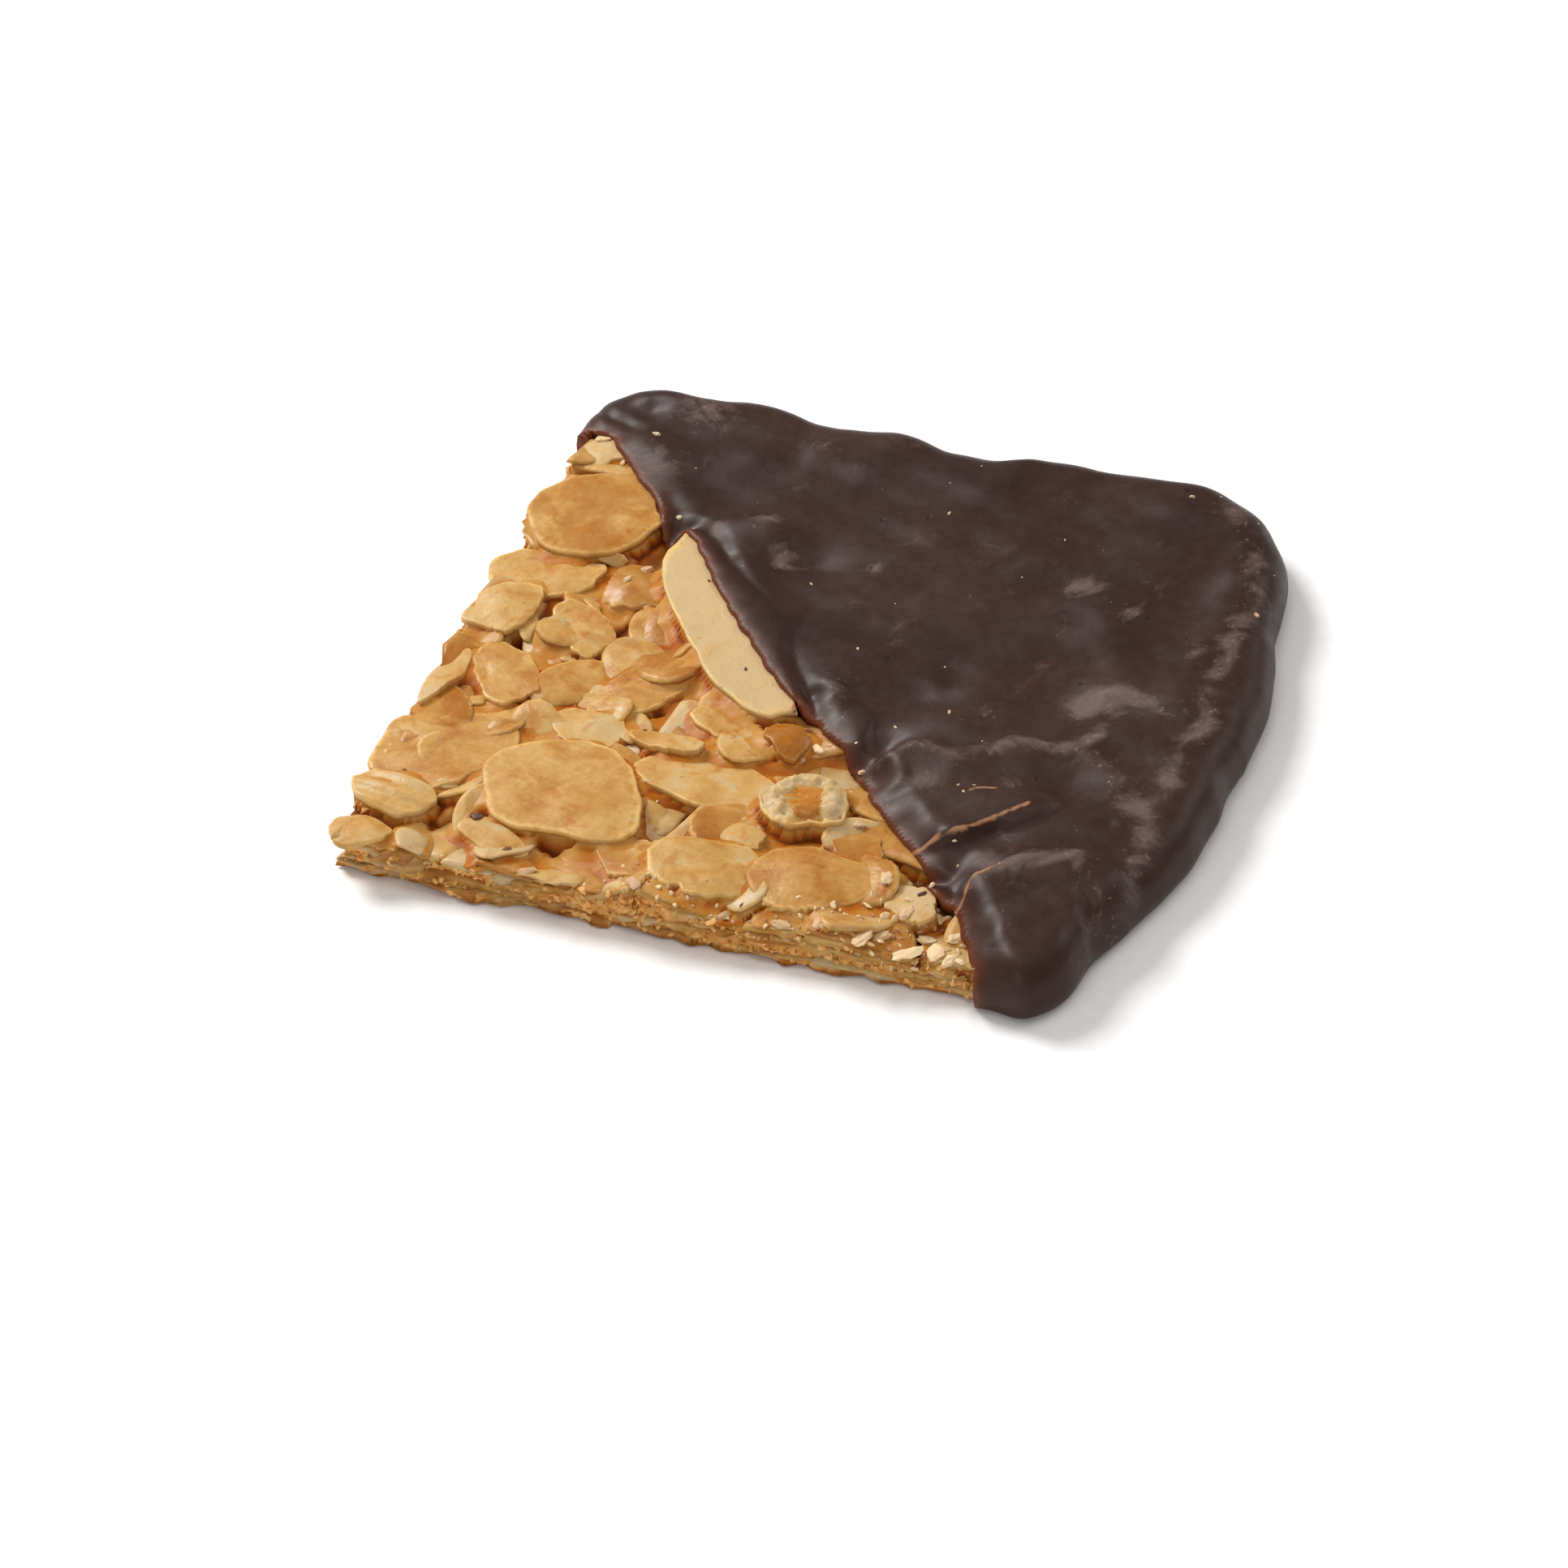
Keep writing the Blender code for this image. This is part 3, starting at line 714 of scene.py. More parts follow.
# Each prominent slice's look: tone from pale 0 to amber 1, glaze, how ragged its rim is and
# how far its rim breaks away on the front side.
SLICE_LOOKS = {
    "slice_round_large": (0.38, 0.06, 0.016, 0.0), "slice_oval": (0.30, 0.0, 0.012, 0.0),
    "slice_long_pale": (0.08, -0.35, 0.020, 0.0), "slice_amber": (0.44, 0.18, 0.010, 0.0),
    "slice_front_domed": (0.50, 0.10, 0.015, 0.05), "slice_front_middle": (0.34, 0.04, 0.030, 0.06),
    "slice_left_large": (0.44, 0.08, 0.030, 0.0), "slice_left_striped": (0.26, -0.1, 0.02, 0.0),
    "slice_bare_corner": (0.32, 0.0, 0.04, 0.0), "slice_front_left": (0.40, 0.18, 0.03, 0.10),
    "slice_front_corner": (0.30, -0.05, 0.02, 0.10), "slice_jagged": (0.26, -0.1, 0.09, 0.0),
    "slice_shard": (0.30, 0.0, 0.05, 0.0), "slice_ring_lump": (0.08, -0.4, 0.02, 0.0),
    "slice_border_crumb": (0.14, -0.2, 0.05, 0.10), "slice_border_low": (0.55, 0.25, 0.04, 0.0),
    "slice_border_lump": (0.70, 0.3, 0.06, 0.0), "slice_lumpy": (0.46, 0.2, 0.06, 0.0),
    "slice_pale_middle": (0.24, 0.0, 0.04, 0.0), "slice_back_corner": (0.16, -0.1, 0.03, 0.0),
    "slice_left_low": (0.34, 0.05, 0.03, 0.0), "slice_under_long": (0.30, 0.05, 0.03, 0.0),
    "slice_round_small": (0.46, 0.12, 0.03, 0.0), "slice_slanted": (0.42, 0.10, 0.03, 0.0),
    "slice_edge_strip": (0.20, -0.1, 0.03, 0.0), "slice_thin_left": (0.38, 0.1, 0.03, 0.0),
    "slice_left_middle": (0.30, 0.0, 0.03, 0.0),
}
SLICE_SEGMENTS = 72
SLICE_THICKNESS = 0.70
SLIVER_THICKNESS = 0.42
SLICE_BED = 4.0                # height that the slices are pressed down towards
RIDGE_HEIGHT = 0.13
RIDGE_SPACING = 1.5
SINK = 0.45                    # share of their height above it that they sink in the caramel
SUNK_MORE = {"slice_amber": 0.55, "slice_left_large": 0.65, "slice_front_domed": 0.6,
             "slice_left_low": 0.65, "slice_slanted": 0.65}
TILT = 0.055                   # how much a slice may lean further, as a slope
GROWTH = 1.08                  # the shown slices against their solids
GROWN_MORE = {"slice_amber": 1.20, "slice_front_middle": 1.18, "slice_front_domed": 1.14,
              "slice_left_large": 1.12, "slice_front_left": 1.16, "slice_lumpy": 1.2,
              "slice_pale_middle": 1.16, "slice_left_middle": 1.2, "slice_ring_lump": 1.0}
# How many of its edges are snapped off straight, where that isn't one.
CHORDS = {"slice_round_large": 0, "slice_long_pale": 0, "slice_amber": 0, "slice_ring_lump": 0,
          "slice_oval": 0, "slice_front_domed": 0, "slice_left_striped": 0, "slice_jagged": 3,
          "slice_shard": 2, "slice_lumpy": 2, "slice_border_crumb": 2, "slice_front_left": 2,
          "slice_pale_middle": 2, "slice_left_large": 0, "slice_under_long": 2}
UNDER_CHOCOLATE = 2.2          # how far a slice runs on under the chocolate
SQUARENESS = 2.7               # of the large round slice: 2 is a circle, higher is squarer
SQUARE_TURN = math.radians(16)
BITE_TURN = math.radians(297)  # where the ring lump is bitten
BITE_REACH = math.radians(20)


def hull_radius(hull, angles):
    """Distance from the middle to a convex outline in each direction."""
    radii = np.zeros(len(angles))
    for start, end in zip(hull, np.roll(hull, -1, axis=0)):
        run = end - start
        for k, angle in enumerate(angles):
            way = np.array([math.cos(angle), math.sin(angle)])
            across = way[0] * run[1] - way[1] * run[0]
            if abs(across) < 1e-9:
                continue
            along = (start[0] * run[1] - start[1] * run[0]) / across
            share = (start[0] * way[1] - start[1] * way[0]) / across
            if along > 0 and -1e-6 <= share <= 1 + 1e-6:
                radii[k] = max(radii[k], along)
    return radii


# The ring lump's own sizes, as shares of its radius.
LUMP_RINGS = (*((k / 14, 1.0) for k in range(1, 14)), (0.97, 0.8), (1.0, 0.2), (0.98, -0.6),
              (0.9, -1.0))
RING_MIDDLE = 0.66             # from the lump's middle to the crest of the ring
RING_REACH = 0.28
BALL_RADIUS = 0.32
BALL_PLACE = (0.18, -0.36)
BALL_CLEAR = 0.36              # within this of the ball there are no knobs


def ring_lump(points, shares, radius, tones):
    """Turns a thick slice into a crumbly pale ring that opens to the front right, around a
    ball of caramel."""
    x, y = points[:, 0] / radius, points[:, 1] / radius
    out = np.hypot(x - BALL_PLACE[0], y - BALL_PLACE[1])
    clear = out > BALL_CLEAR
    opening = step_up(0.72, 1.0, (0.45 * x - 0.89 * y) / np.maximum(np.hypot(x, y), 0.05))
    ring = np.exp(-((np.hypot(x, y) - RING_MIDDLE) / RING_REACH) ** 2) * (1 - 0.8 * opening)
    ball = np.sqrt(np.maximum(BALL_RADIUS ** 2 - out ** 2, 0)) / BALL_RADIUS
    knobs = ripple(points[:, 0], points[:, 1], 0.52, 5)
    knobs = knobs + 0.7 * ripple(points[:, 0], points[:, 1], 0.3, 6)
    rise = 0.82 * ring + 0.15 * knobs * clear + 0.62 * ball - 0.38
    points[:, 2] += np.where(shares < 0.96, rise, 0.0)
    amber = 1 - step_up(0.30, 0.38, out)
    return points, tones + amber * 0.72 + 0.2 * opening * clear + 0.06 * knobs


LEAST_FACING = 0.15            # a snapped edge spans directions that face it by more than this


def broken_off(angles, radii, draw, chords):
    """The outline with straight broken edges, as snapped slices have."""
    for _ in range(chords):
        way = draw.uniform(0, 2 * math.pi)
        line = draw.uniform(0.58, 0.86) * np.interp(way, angles, radii, period=2 * math.pi)
        facing = np.cos(angles - way)
        chord = np.where(facing > LEAST_FACING, line / np.maximum(facing, LEAST_FACING), 1e9)
        rough = 1 + 0.025 * wobble(angles * 14, 1.0, int(draw.integers(900)))
        radii = np.minimum(radii, chord * rough)
    return radii


def prominent_outline(name, number, middle, flat, draw):
    """Directions from the slice's middle and its radius in each: its solid's outline grown,
    lobed, frayed and snapped, and run on under the chocolate."""
    ragged, broken = SLICE_LOOKS[name][2:]
    hull = flat[convex_hull_2d([Vector(spot) for spot in flat])]
    angles = np.arange(SLICE_SEGMENTS) * 2 * math.pi / SLICE_SEGMENTS
    radii = hull_radius(hull, angles)
    radii = (np.roll(radii, 1) + 2 * radii + np.roll(radii, -1)) / 4
    rim_x = middle[0] + radii * np.cos(angles)
    rim_y = middle[1] + radii * np.sin(angles)
    beside = step_up(-0.9, -0.1, border_distance(rim_x, rim_y))
    radii = radii + beside * UNDER_CHOCOLATE
    cut = np.maximum(*(step_up(-CUT + 0.6, -CUT - 0.2, rim) for rim in (rim_x, rim_y)))
    ring = np.stack([np.cos(angles), np.sin(angles)])
    jag = ripple(*(ring * 5.0), 0.9, number + 3) + 1.4 * ripple(*(ring * 3.0), 1.7, number)
    lobes = 0.035 * ripple(*(ring * 1.3), 1.0, number + 60)
    front = np.maximum(-np.sin(angles), 0) ** 3
    bite = broken * front * (1 + 0.8 * ripple(*(ring * 12.0), 0.9, number + 9))
    radii = radii * (GROWN_MORE.get(name, GROWTH) + lobes + jag * ragged * (1 - 0.5 * cut)
                     - bite * (1 - beside))
    if name == "slice_ring_lump":
        radii = radii * (1 - 0.16 * np.exp(-((angles - BITE_TURN) / BITE_REACH) ** 2))
    if name == "slice_round_large":
        turned = angles - SQUARE_TURN
        sides = abs(np.cos(turned)) ** SQUARENESS + abs(np.sin(turned)) ** SQUARENESS
        radii = radii * sides ** (-1 / SQUARENESS) * 0.95
    snapped = broken_off(angles, radii, draw, CHORDS.get(name, 1))
    return angles, radii + (snapped - radii) * (1 - beside)


def prominent_slice(name, look, number):
    """One slice that stands out on top, made over its solid in the frame."""
    tone, glaze, ragged = SLICE_LOOKS[name][:3]
    solid = points_of(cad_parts[name])
    middle = (solid[:, :2].max(0) + solid[:, :2].min(0)) / 2
    flat = solid[:, :2] - middle
    spread = np.linalg.eigh(np.cov(flat.T))[1][:, 1]
    heading = math.atan2(spread[1], spread[0])
    draw = np.random.default_rng(900 + number)
    angles, radii = prominent_outline(name, number, middle, flat, draw)

    def outline(at):
        return np.interp(at, angles, radii, period=2 * math.pi)

    high = solid[:, 2] > np.median(solid[:, 2])
    terms = [np.ones(high.sum()), *flat[high].T, flat[high, 0] ** 2, flat[high, 1] ** 2]
    fit = np.linalg.lstsq(np.stack(terms, 1), solid[high, 2], rcond=None)[0]
    fit[1:3] += draw.uniform(-TILT, TILT, 2)
    rise = 0.06 * (1 + 20 * ragged)
    reach = abs(flat).max(0)

    def upper(x, y):
        x = np.clip(x, -reach[0], reach[0])
        y = np.clip(y, -reach[1], reach[1])
        bowl = fit[0] + fit[1] * x + fit[2] * y + 0.8 * (fit[3] * x * x + fit[4] * y * y)
        return bowl + rise * ripple(x + middle[0], y + middle[1], 2.2, number + 30)

    rings = LUMP_RINGS if name == "slice_ring_lump" else UPPER_RINGS + LOWER_RINGS
    points, faces, shares = slice_points(outline, upper, SLICE_THICKNESS, SLICE_SEGMENTS, rings)
    points[:, 2] -= SUNK_MORE.get(name, SINK) * (fit[0] - SLICE_BED)
    tones = np.full(len(points), tone)
    if name == "slice_left_striped":
        across = points[:, 1] * math.cos(heading) - points[:, 0] * math.sin(heading)
        points[:, 2] += RIDGE_HEIGHT * np.cos(across * 2 * math.pi / RIDGE_SPACING)
    if name == "slice_ring_lump":
        points, tones = ring_lump(points, shares, radii.mean(), tones)
    points = points + np.array([*middle, 0.0])
    piece = mesh_piece("almond_" + name, points, faces, look)
    add_grain_map(piece.data, points, heading)
    set_values(piece, "tone", tones)
    set_values(piece, "rim", shares)
    set_values(piece, "glaze", glaze)
    return piece


def loose_slice_shapes(name, count, lengths, widths, thickness, segments, least_chords):
    """Simple sliced almonds or slivers, in metres about the origin, to be scattered."""
    shapes = []
    for number in range(count):
        draw = np.random.default_rng(300 + number)
        length = draw.uniform(*lengths)
        width = length * draw.uniform(*widths)
        taper = draw.uniform(0.0, 0.35)
        phase = draw.uniform(0, 6)

        around = np.radians(np.arange(0, 360, 4))
        oval = 1 / np.hypot(np.cos(around) / (length / 2), np.sin(around) / (width / 2))
        oval *= 1 - taper * (0.5 + 0.5 * np.cos(around)) * 0.4
        oval = broken_off(around, oval, draw, least_chords + number % 3)

        def outline(at):
            return np.interp(at, around, oval, period=2 * math.pi)

        def upper(x, y):
            bend = 0.006 * (x * x - 12) * math.sin(phase) + 0.10 * np.sin(x * 0.8 + phase)
            return thickness * (0.57 + bend / 0.7)

        rings = ((0.55, 1.0), (0.92, 0.95), (1.0, 0.35), (0.97, -0.8))
        points, faces, shares = slice_points(outline, upper, thickness, segments, rings)
        mesh = bpy.data.meshes.new(f"{name}_{number}")
        mesh.from_pydata(points * MM, [], faces)
        add_grain_map(mesh, points, 0.0)
        shape = shown(f"{name}_{number}", mesh)
        set_values(shape, "rim", shares)
        shapes.append(shape)
    return shapes


def retoned(piece, low, high):
    """Brings the piece's random tones, 0 to 1, into a narrower range."""
    layer = piece.data.attributes["tone"]
    values = np.zeros(len(layer.data), np.float32)
    layer.data.foreach_get("value", values)
    layer.data.foreach_set("value", low + (high - low) * values)


# ---------------------------------------------------------------- the almond slab

LAYERS = (0.62, 1.35, 2.1, 2.85, 3.45)    # heights of the buried layers' middles
SLAB_UNDER = 5.0               # how far the shown slab runs on under the chocolate
FLOOR_GAP = 0.02 * MM
WAVE_REACH = 1.6               # how far in from a cut side its wander dies away


def layer_plate(height, seed):
    """The bare half of the square at one height, as ground for a layer of slices."""
    out = -CUT - 1
    spots = [(out, out, height), (CUT - 2, out, height), (out, CUT - 4, height)]
    return mesh_piece(f"layer_{seed}", spots, [(0, 1, 2)], bpy.data.materials.new("plain"))


def knife_cut(piece):
    """Cuts a piece along the two bare sides and closes each cut face."""
    bm = bmesh.new()
    bm.from_mesh(piece.data)
    for way, offset in (((-1, 0, 0), CUT), ((0, -1, 0), CUT)):
        wall = MIDDLE + Vector(way) * offset * MM
        bmesh.ops.bisect_plane(bm, geom=bm.verts[:] + bm.edges[:] + bm.faces[:],
                               plane_co=wall, plane_no=way, clear_outer=True, dist=1e-7)
        rim = [edge for edge in bm.edges if edge.is_boundary]
        bmesh.ops.holes_fill(bm, edges=rim, sides=0)
    bmesh.ops.triangulate(bm, faces=[face for face in bm.faces if len(face.verts) > 4])
    bm.to_mesh(piece.data)
    bm.free()


def side_wave(along, seed):
    """How far a cut side stands in or out along its length."""
    return 0.35 * wobble(along, 5.0, seed) + 0.18 * wobble(along, 1.0, seed + 1)


def wave_sides(piece):
    """Lets the two cut sides wander as a real knife cut does, and tucks them in under the
    chocolate."""
    points = points_of(piece)
    near_left = np.exp(-np.maximum(points[:, 0] + CUT, 0) / WAVE_REACH)
    near_front = np.exp(-np.maximum(points[:, 1] + CUT, 0) / WAVE_REACH)
    layer = points[:, 2] * 3.2
    tuck = 1.8 * step_up(0.2, 1.8, border_distance(points[:, 0], points[:, 1]))
    points[:, 0] += near_left * (side_wave(points[:, 1] + layer, 11) + tuck)
    points[:, 1] += near_front * (side_wave(points[:, 0] + layer, 21) + tuck)
    piece.data.vertices.foreach_set("co", (points * MM + np.array(MIDDLE)).ravel())
    piece.data.update()


def kept_up(piece):
    """Lifts whatever hangs below the surface that the florentine lies on."""
    for vert in piece.data.vertices:
        vert.co.z = max(vert.co.z, FLOOR_GAP)
    piece.data.update()


UPPER_LAYER = {"least_spacing": 3.3 * MM, "smallest": 0.5, "largest": 0.95, "lean": 0.34}
LOWER_LAYER = {"least_spacing": 4.3 * MM, "smallest": 0.75, "largest": 1.05, "lean": 0.10}


def buried_slices(look):
    """The layers of slices under the prominent ones, seen between them and at the cuts."""
    layers = []
    for number, height in enumerate(LAYERS):
        shapes = loose_slice_shapes("loose_slice", 10, (7.0, 13.0), (0.48, 0.85),
                                    SLICE_THICKNESS, 26, 0)
        sizes = UPPER_LAYER if height > 3 else LOWER_LAYER
        layers.append(scatter(f"layer_{number}_slices", layer_plate(height, number), shapes, look,
                              smooth=True, bits_per_square_metre=9.0e4, seed=number + 2, **sizes))
    bm = bmesh.new()
    for layer in layers:
        bm.from_mesh(layer.data)
    joined = layers[0].data
    bm.to_mesh(joined)
    bm.free()
    for layer in layers[1:]:
        bpy.data.objects.remove(layer)
    piece = layers[0]
    piece.name = "buried_almond_slices"
    retoned(piece, 0.06, 0.66)
    knife_cut(piece)
    wave_sides(piece)
    kept_up(piece)
    set_values(piece, "glaze", 0.12)
    return piece


MASS_CELL = 0.30               # spacing of the caramel's points
WALL_ROWS = 9                  # rows of faces down its cut sides
BARE_LEVEL = 2.6               # its height where no slice is under it
LEAST_FILL = 1.2               # its lowest top
EVEN_REACH = 0.75              # over which its level evens out
CLIMB_REACH = 0.6              # within which it climbs the edges of the slices
# Open places between slices where the caramel lies deep, which the depth value also darkens as
# painted shade: x, y, radius, depth.
HOLLOWS = (
    (-15.3, -1.3, 1.1, 1.5), (-26.2, -10.6, 0.8, 1.2), (-8.6, -11.0, 0.6, 1.6),
    (-10.8, -13.6, 0.8, 0.9), (-4.5, -19.6, 2.4, 0.5), (-16.0, -26.0, 1.0, 0.5),
    (-18.6, -24.2, 0.7, 0.6), (14.6, -23.6, 1.0, 0.6), (-21.5, 6.4, 0.6, 0.7),
    (-20.3, -11.8, 1.1, 0.5), (6.0, -13.2, 1.6, 0.15),
)


def caramel_fill(x, y, keep, slices):
    """Height of the caramel, and its depth from 0 where it is a thin skin over a slice to 1
    in the gaps; the depth also holds painted shade where the caramel lies below its
    surroundings. It climbs the edges of the slices and dips in the hollows."""
    height = np.full(x.shape, BARE_LEVEL)
    height[keep] = tops(tree_of(slices), x[keep], y[keep], BARE_LEVEL)
    level = blur(height, EVEN_REACH / MASS_CELL)
    climb = blur(widened(height, 1), CLIMB_REACH / MASS_CELL)
    fill = 0.45 * level + 0.55 * climb - 0.17 + 0.04 * ripple(x, y, 0.9, 77)
    fill += 0.06 * ripple(x, y, 3.0, 78)
    for spot_x, spot_y, radius, depth in HOLLOWS:
        fill -= depth * mound(x, y, spot_x, spot_y, radius)
    fill = np.clip(fill, LEAST_FILL, height + 0.5)
    # The caramel's thickness over a slice darkens it for real; the part from the blurred level
    # above the fill is painted shade in the crevices.
    return fill, np.clip((fill - height) * 0.6 + (level - fill + 0.02) * 2.4, 0, 1)


def crumbly(spot):
    """A place on a cut side, set in unevenly as crumbling layers are."""
    along = spot.x + spot.y
    seam = 0.16 * math.sin(spot.z * 7.0 + 1.5 * math.sin(along * 0.5))
    rough = 0.10 * math.sin(along * 4.1 + spot.z * 9)
    inset = 0.22 + seam + (rough + 0.08 * math.sin(along * 9.7 - spot.z * 13))
    if spot.x < -CUT + 0.01:
        spot.x += inset
    if spot.y < -CUT + 0.01:
        spot.y += inset
    return spot


def wall_up(bm, depths):
    """Joins the rims of an upper and a lower sheet by a crumbly wall, whose points' depths
    are added to the depths. Returns the wall's own points."""
    by_place = {}
    for vert in bm.verts:
        by_place.setdefault((round(vert.co.x, 4), round(vert.co.y, 4)), []).append(vert)
    below = {}
    for first, second in (pair for pair in by_place.values() if len(pair) == 2):
        below[first] = second
        below[second] = first
    columns = {}
    crumbs = set()

    def column(vert):
        """The points of the wall below a rim point, from the top down."""
        if vert in columns:
            return columns[vert]
        low = below[vert]
        made = [vert]
        for k in range(1, WALL_ROWS):
            share = k / WALL_ROWS
            fresh = bm.verts.new(crumbly(vert.co.lerp(low.co, share)))
            depths[fresh] = 0.35 + 0.3 * share
            crumbs.add(fresh)
            made.append(fresh)
        made.append(low)
        columns[vert] = made
        return made

    rim = [edge for edge in bm.edges if edge.is_boundary]
    for edge in [edge for edge in rim if edge.verts[0].co.z > 1.0]:
        first, second = edge.verts
        if edge.link_loops[0].vert is first:
            first, second = second, first
        left = column(first)
        right = column(second)
        for k in range(WALL_ROWS):
            bm.faces.new((left[k], left[k + 1], right[k + 1], right[k]))
    return crumbs


def caramel_mass(slices, look):
    """Caramel that fills the slab: a skin over the buried slices that climbs their edges."""
    line = np.linspace(-CUT, CUT, int(2 * CUT / MASS_CELL) + 1)
    x, y = np.meshgrid(line, line, indexing="ij")
    keep = border_distance(x, y) < SLAB_UNDER
    fill, depth = caramel_fill(x, y, keep, slices)
    count = keep.sum()
    numbers = -np.ones(x.shape, int)
    numbers[keep] = np.arange(count)
    under = 0.22 + 0.06 * ripple(x[keep], y[keep], 3.0, 5)
    points = np.vstack([np.stack([x[keep], y[keep], height], 1) for height in (fill[keep], under)])
    bm = bmesh.new()
    verts = [bm.verts.new(point) for point in points]
    depths = dict(zip(verts, [*depth[keep], *np.full(count, 0.45)]))
    for i, j in zip(*np.nonzero(keep[:-1, :-1] & keep[1:, :-1] & keep[1:, 1:] & keep[:-1, 1:])):
        corners = (numbers[i, j], numbers[i + 1, j], numbers[i + 1, j + 1], numbers[i, j + 1])
        bm.faces.new([verts[corner] for corner in corners])
        bm.faces.new([verts[count + corner] for corner in reversed(corners)])
    loose = [vert for vert in bm.verts if not vert.link_faces]
    bmesh.ops.delete(bm, geom=loose, context="VERTS")
    crumbs = wall_up(bm, depths)
    face_outwards(bm)
    values = [(depths[vert], float(vert in crumbs)) for vert in bm.verts]
    piece = bmesh_piece("caramel_and_almond_mass", bm, look)
    for name, numbers in zip(("depth", "crumb"), zip(*values)):
        set_values(piece, name, numbers)
    wave_sides(piece)
    kept_up(piece)
    return piece


# ---------------------------------------------------------------- the chocolate

COAT_CELLS = 170               # across its top and its underside
SHOULDER_IN = 3.0              # how far in from its outline the chocolate starts to round off
FOOT_IN = 1.3                  # how far in its rim ends underneath
RIM_WAIST = 2.0                # height of the widest ring
RIM_RINGS = 16
TOP_LEVEL = 5.1
LIP_LEVEL = 4.15               # at the diagonal border
SHELL = 1.3 * MM               # thickness of the chocolate
CORNER_TURN = 322              # direction of its front corner, in degrees
FAR_OUT = 90.0                 # where rays that look for its side start
CEILING_EASE = 0.6             # how far below the ceiling the heights begin to ease off


def coat_reach():
    """The chocolate's outline as a distance from the middle in each direction."""
    solid = tree_of([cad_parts["chocolate_coat"]])
    angles = np.radians(np.arange(0, 360, 0.5))
    reach = 30.2 / np.maximum(abs(np.cos(angles)), abs(np.sin(angles)))
    for k, angle in enumerate(angles):
        way = Vector((math.cos(angle), math.sin(angle), 0.0))
        hit = solid.ray_cast(way * FAR_OUT + Vector((0, 0, RIM_WAIST + 0.1)), -way)[0]
        turn = (math.degrees(angle) + 49) % 360
        if hit and turn < 190:
            reach[k] = math.hypot(hit.x, hit.y)
    weights = np.array([0.1, 0.2, 0.4, 0.2, 0.1])
    for _ in range(2):
        reach = sum(w * np.roll(reach, k - 2) for k, w in enumerate(weights))
    corner = np.exp(-((np.degrees(angles) - CORNER_TURN) / 7) ** 2)
    reach = reach * (1 - 0.035 * corner)
    rim = angles * 30
    reach = reach + 0.10 * wobble(rim, 2.4, 31) + 0.16 * wobble(rim, 6.0, 32)
    return lambda at: np.interp(at % (2 * math.pi), angles, reach, period=2 * math.pi)


def fold_rise(x, y):
    """Raised folds, each steep on one flank and gentle on the other."""
    rise = np.zeros_like(x)
    for start, end, height, left_reach, right_reach in FOLDS:
        start = np.array(start)
        run = np.array(end) - start
        length = math.hypot(*run)
        along = ((x - start[0]) * run[0] + (y - start[1]) * run[1]) / length
        across = (run[0] * (y - start[1]) - run[1] * (x - start[0])) / length
        past = np.maximum(np.maximum(-along, along - length), 0)
        flank = np.where(across > 0, left_reach, right_reach)
        swell = 1.25 * height * np.exp(-np.abs(across / flank) ** 1.6 - (past / 1.3) ** 2)
        rise = np.maximum(rise, swell) + 0.15 * np.minimum(rise, swell)
    for (spot_x, spot_y), radius, depth in DENTS:
        rise -= depth * mound(x, y, spot_x, spot_y, radius)
    return rise


def coat_height(x, y, away):
    """Top of the chocolate: a thin lip at its border, then gentle swells and folds."""
    inside = 1 - np.exp(-np.maximum(away, 0) / 0.8)
    swell = 0.22 * ripple(x, y, 4.6, 41) + 0.07 * ripple(x, y, 2.3, 42)
    return LIP_LEVEL + (TOP_LEVEL - LIP_LEVEL) * inside + (swell + fold_rise(x, y)) * inside


def under_ceiling(height):
    """The height eased off below the top of the chocolate's solid."""
    knee = COAT_TOP - CEILING_EASE
    over = np.maximum(height - knee, 0)
    return np.minimum(height, knee) + CEILING_EASE * (1 - np.exp(-over / CEILING_EASE))


def draped_height(x, y, covered):
    """The chocolate's top: a film over the slices near the border, its own form further in."""
    away = border_distance(x, y)
    height = coat_height(x, y, away)
    near = (away > -3) & (away < 7)
    under = height - 0.8
    under[near] = tops(covered, x[near], y[near], 3.6)
    film = 0.12 + 0.42 * (1 - np.exp(-np.maximum(away, 0) / 0.7))
    draped = np.maximum(blur(under, 2.4), blur(widened(under, 2), 1.1)) + film
    inside = step_up(0.0, 3.0, away)
    return under_ceiling(draped + (np.maximum(draped, height) - draped) * inside)


def rim_rings(top_z, angle, outline):
    """Rings of points round the chocolate's bulging side, from its top down to its foot."""
    sag = 0.12 * wobble(angle * 30, 3.0, 61)
    rings = []
    for k in range(1, RIM_RINGS + 1):
        turn = math.pi * k / RIM_RINGS
        bulge = math.sin(turn) ** 0.85 if k < RIM_RINGS else 0.0
        if k <= RIM_RINGS / 2:
            inset = SHOULDER_IN * (1 - bulge)
            z = RIM_WAIST + (top_z - RIM_WAIST) * math.cos(turn) ** 0.95
        else:
            inset = FOOT_IN * (1 - bulge)
            z = RIM_WAIST * (1 + math.cos(turn)) + 0 * top_z
        out = outline - inset - sag * bulge
        rings.append(np.stack([out * np.cos(angle), out * np.sin(angle), z], 1))
    return rings


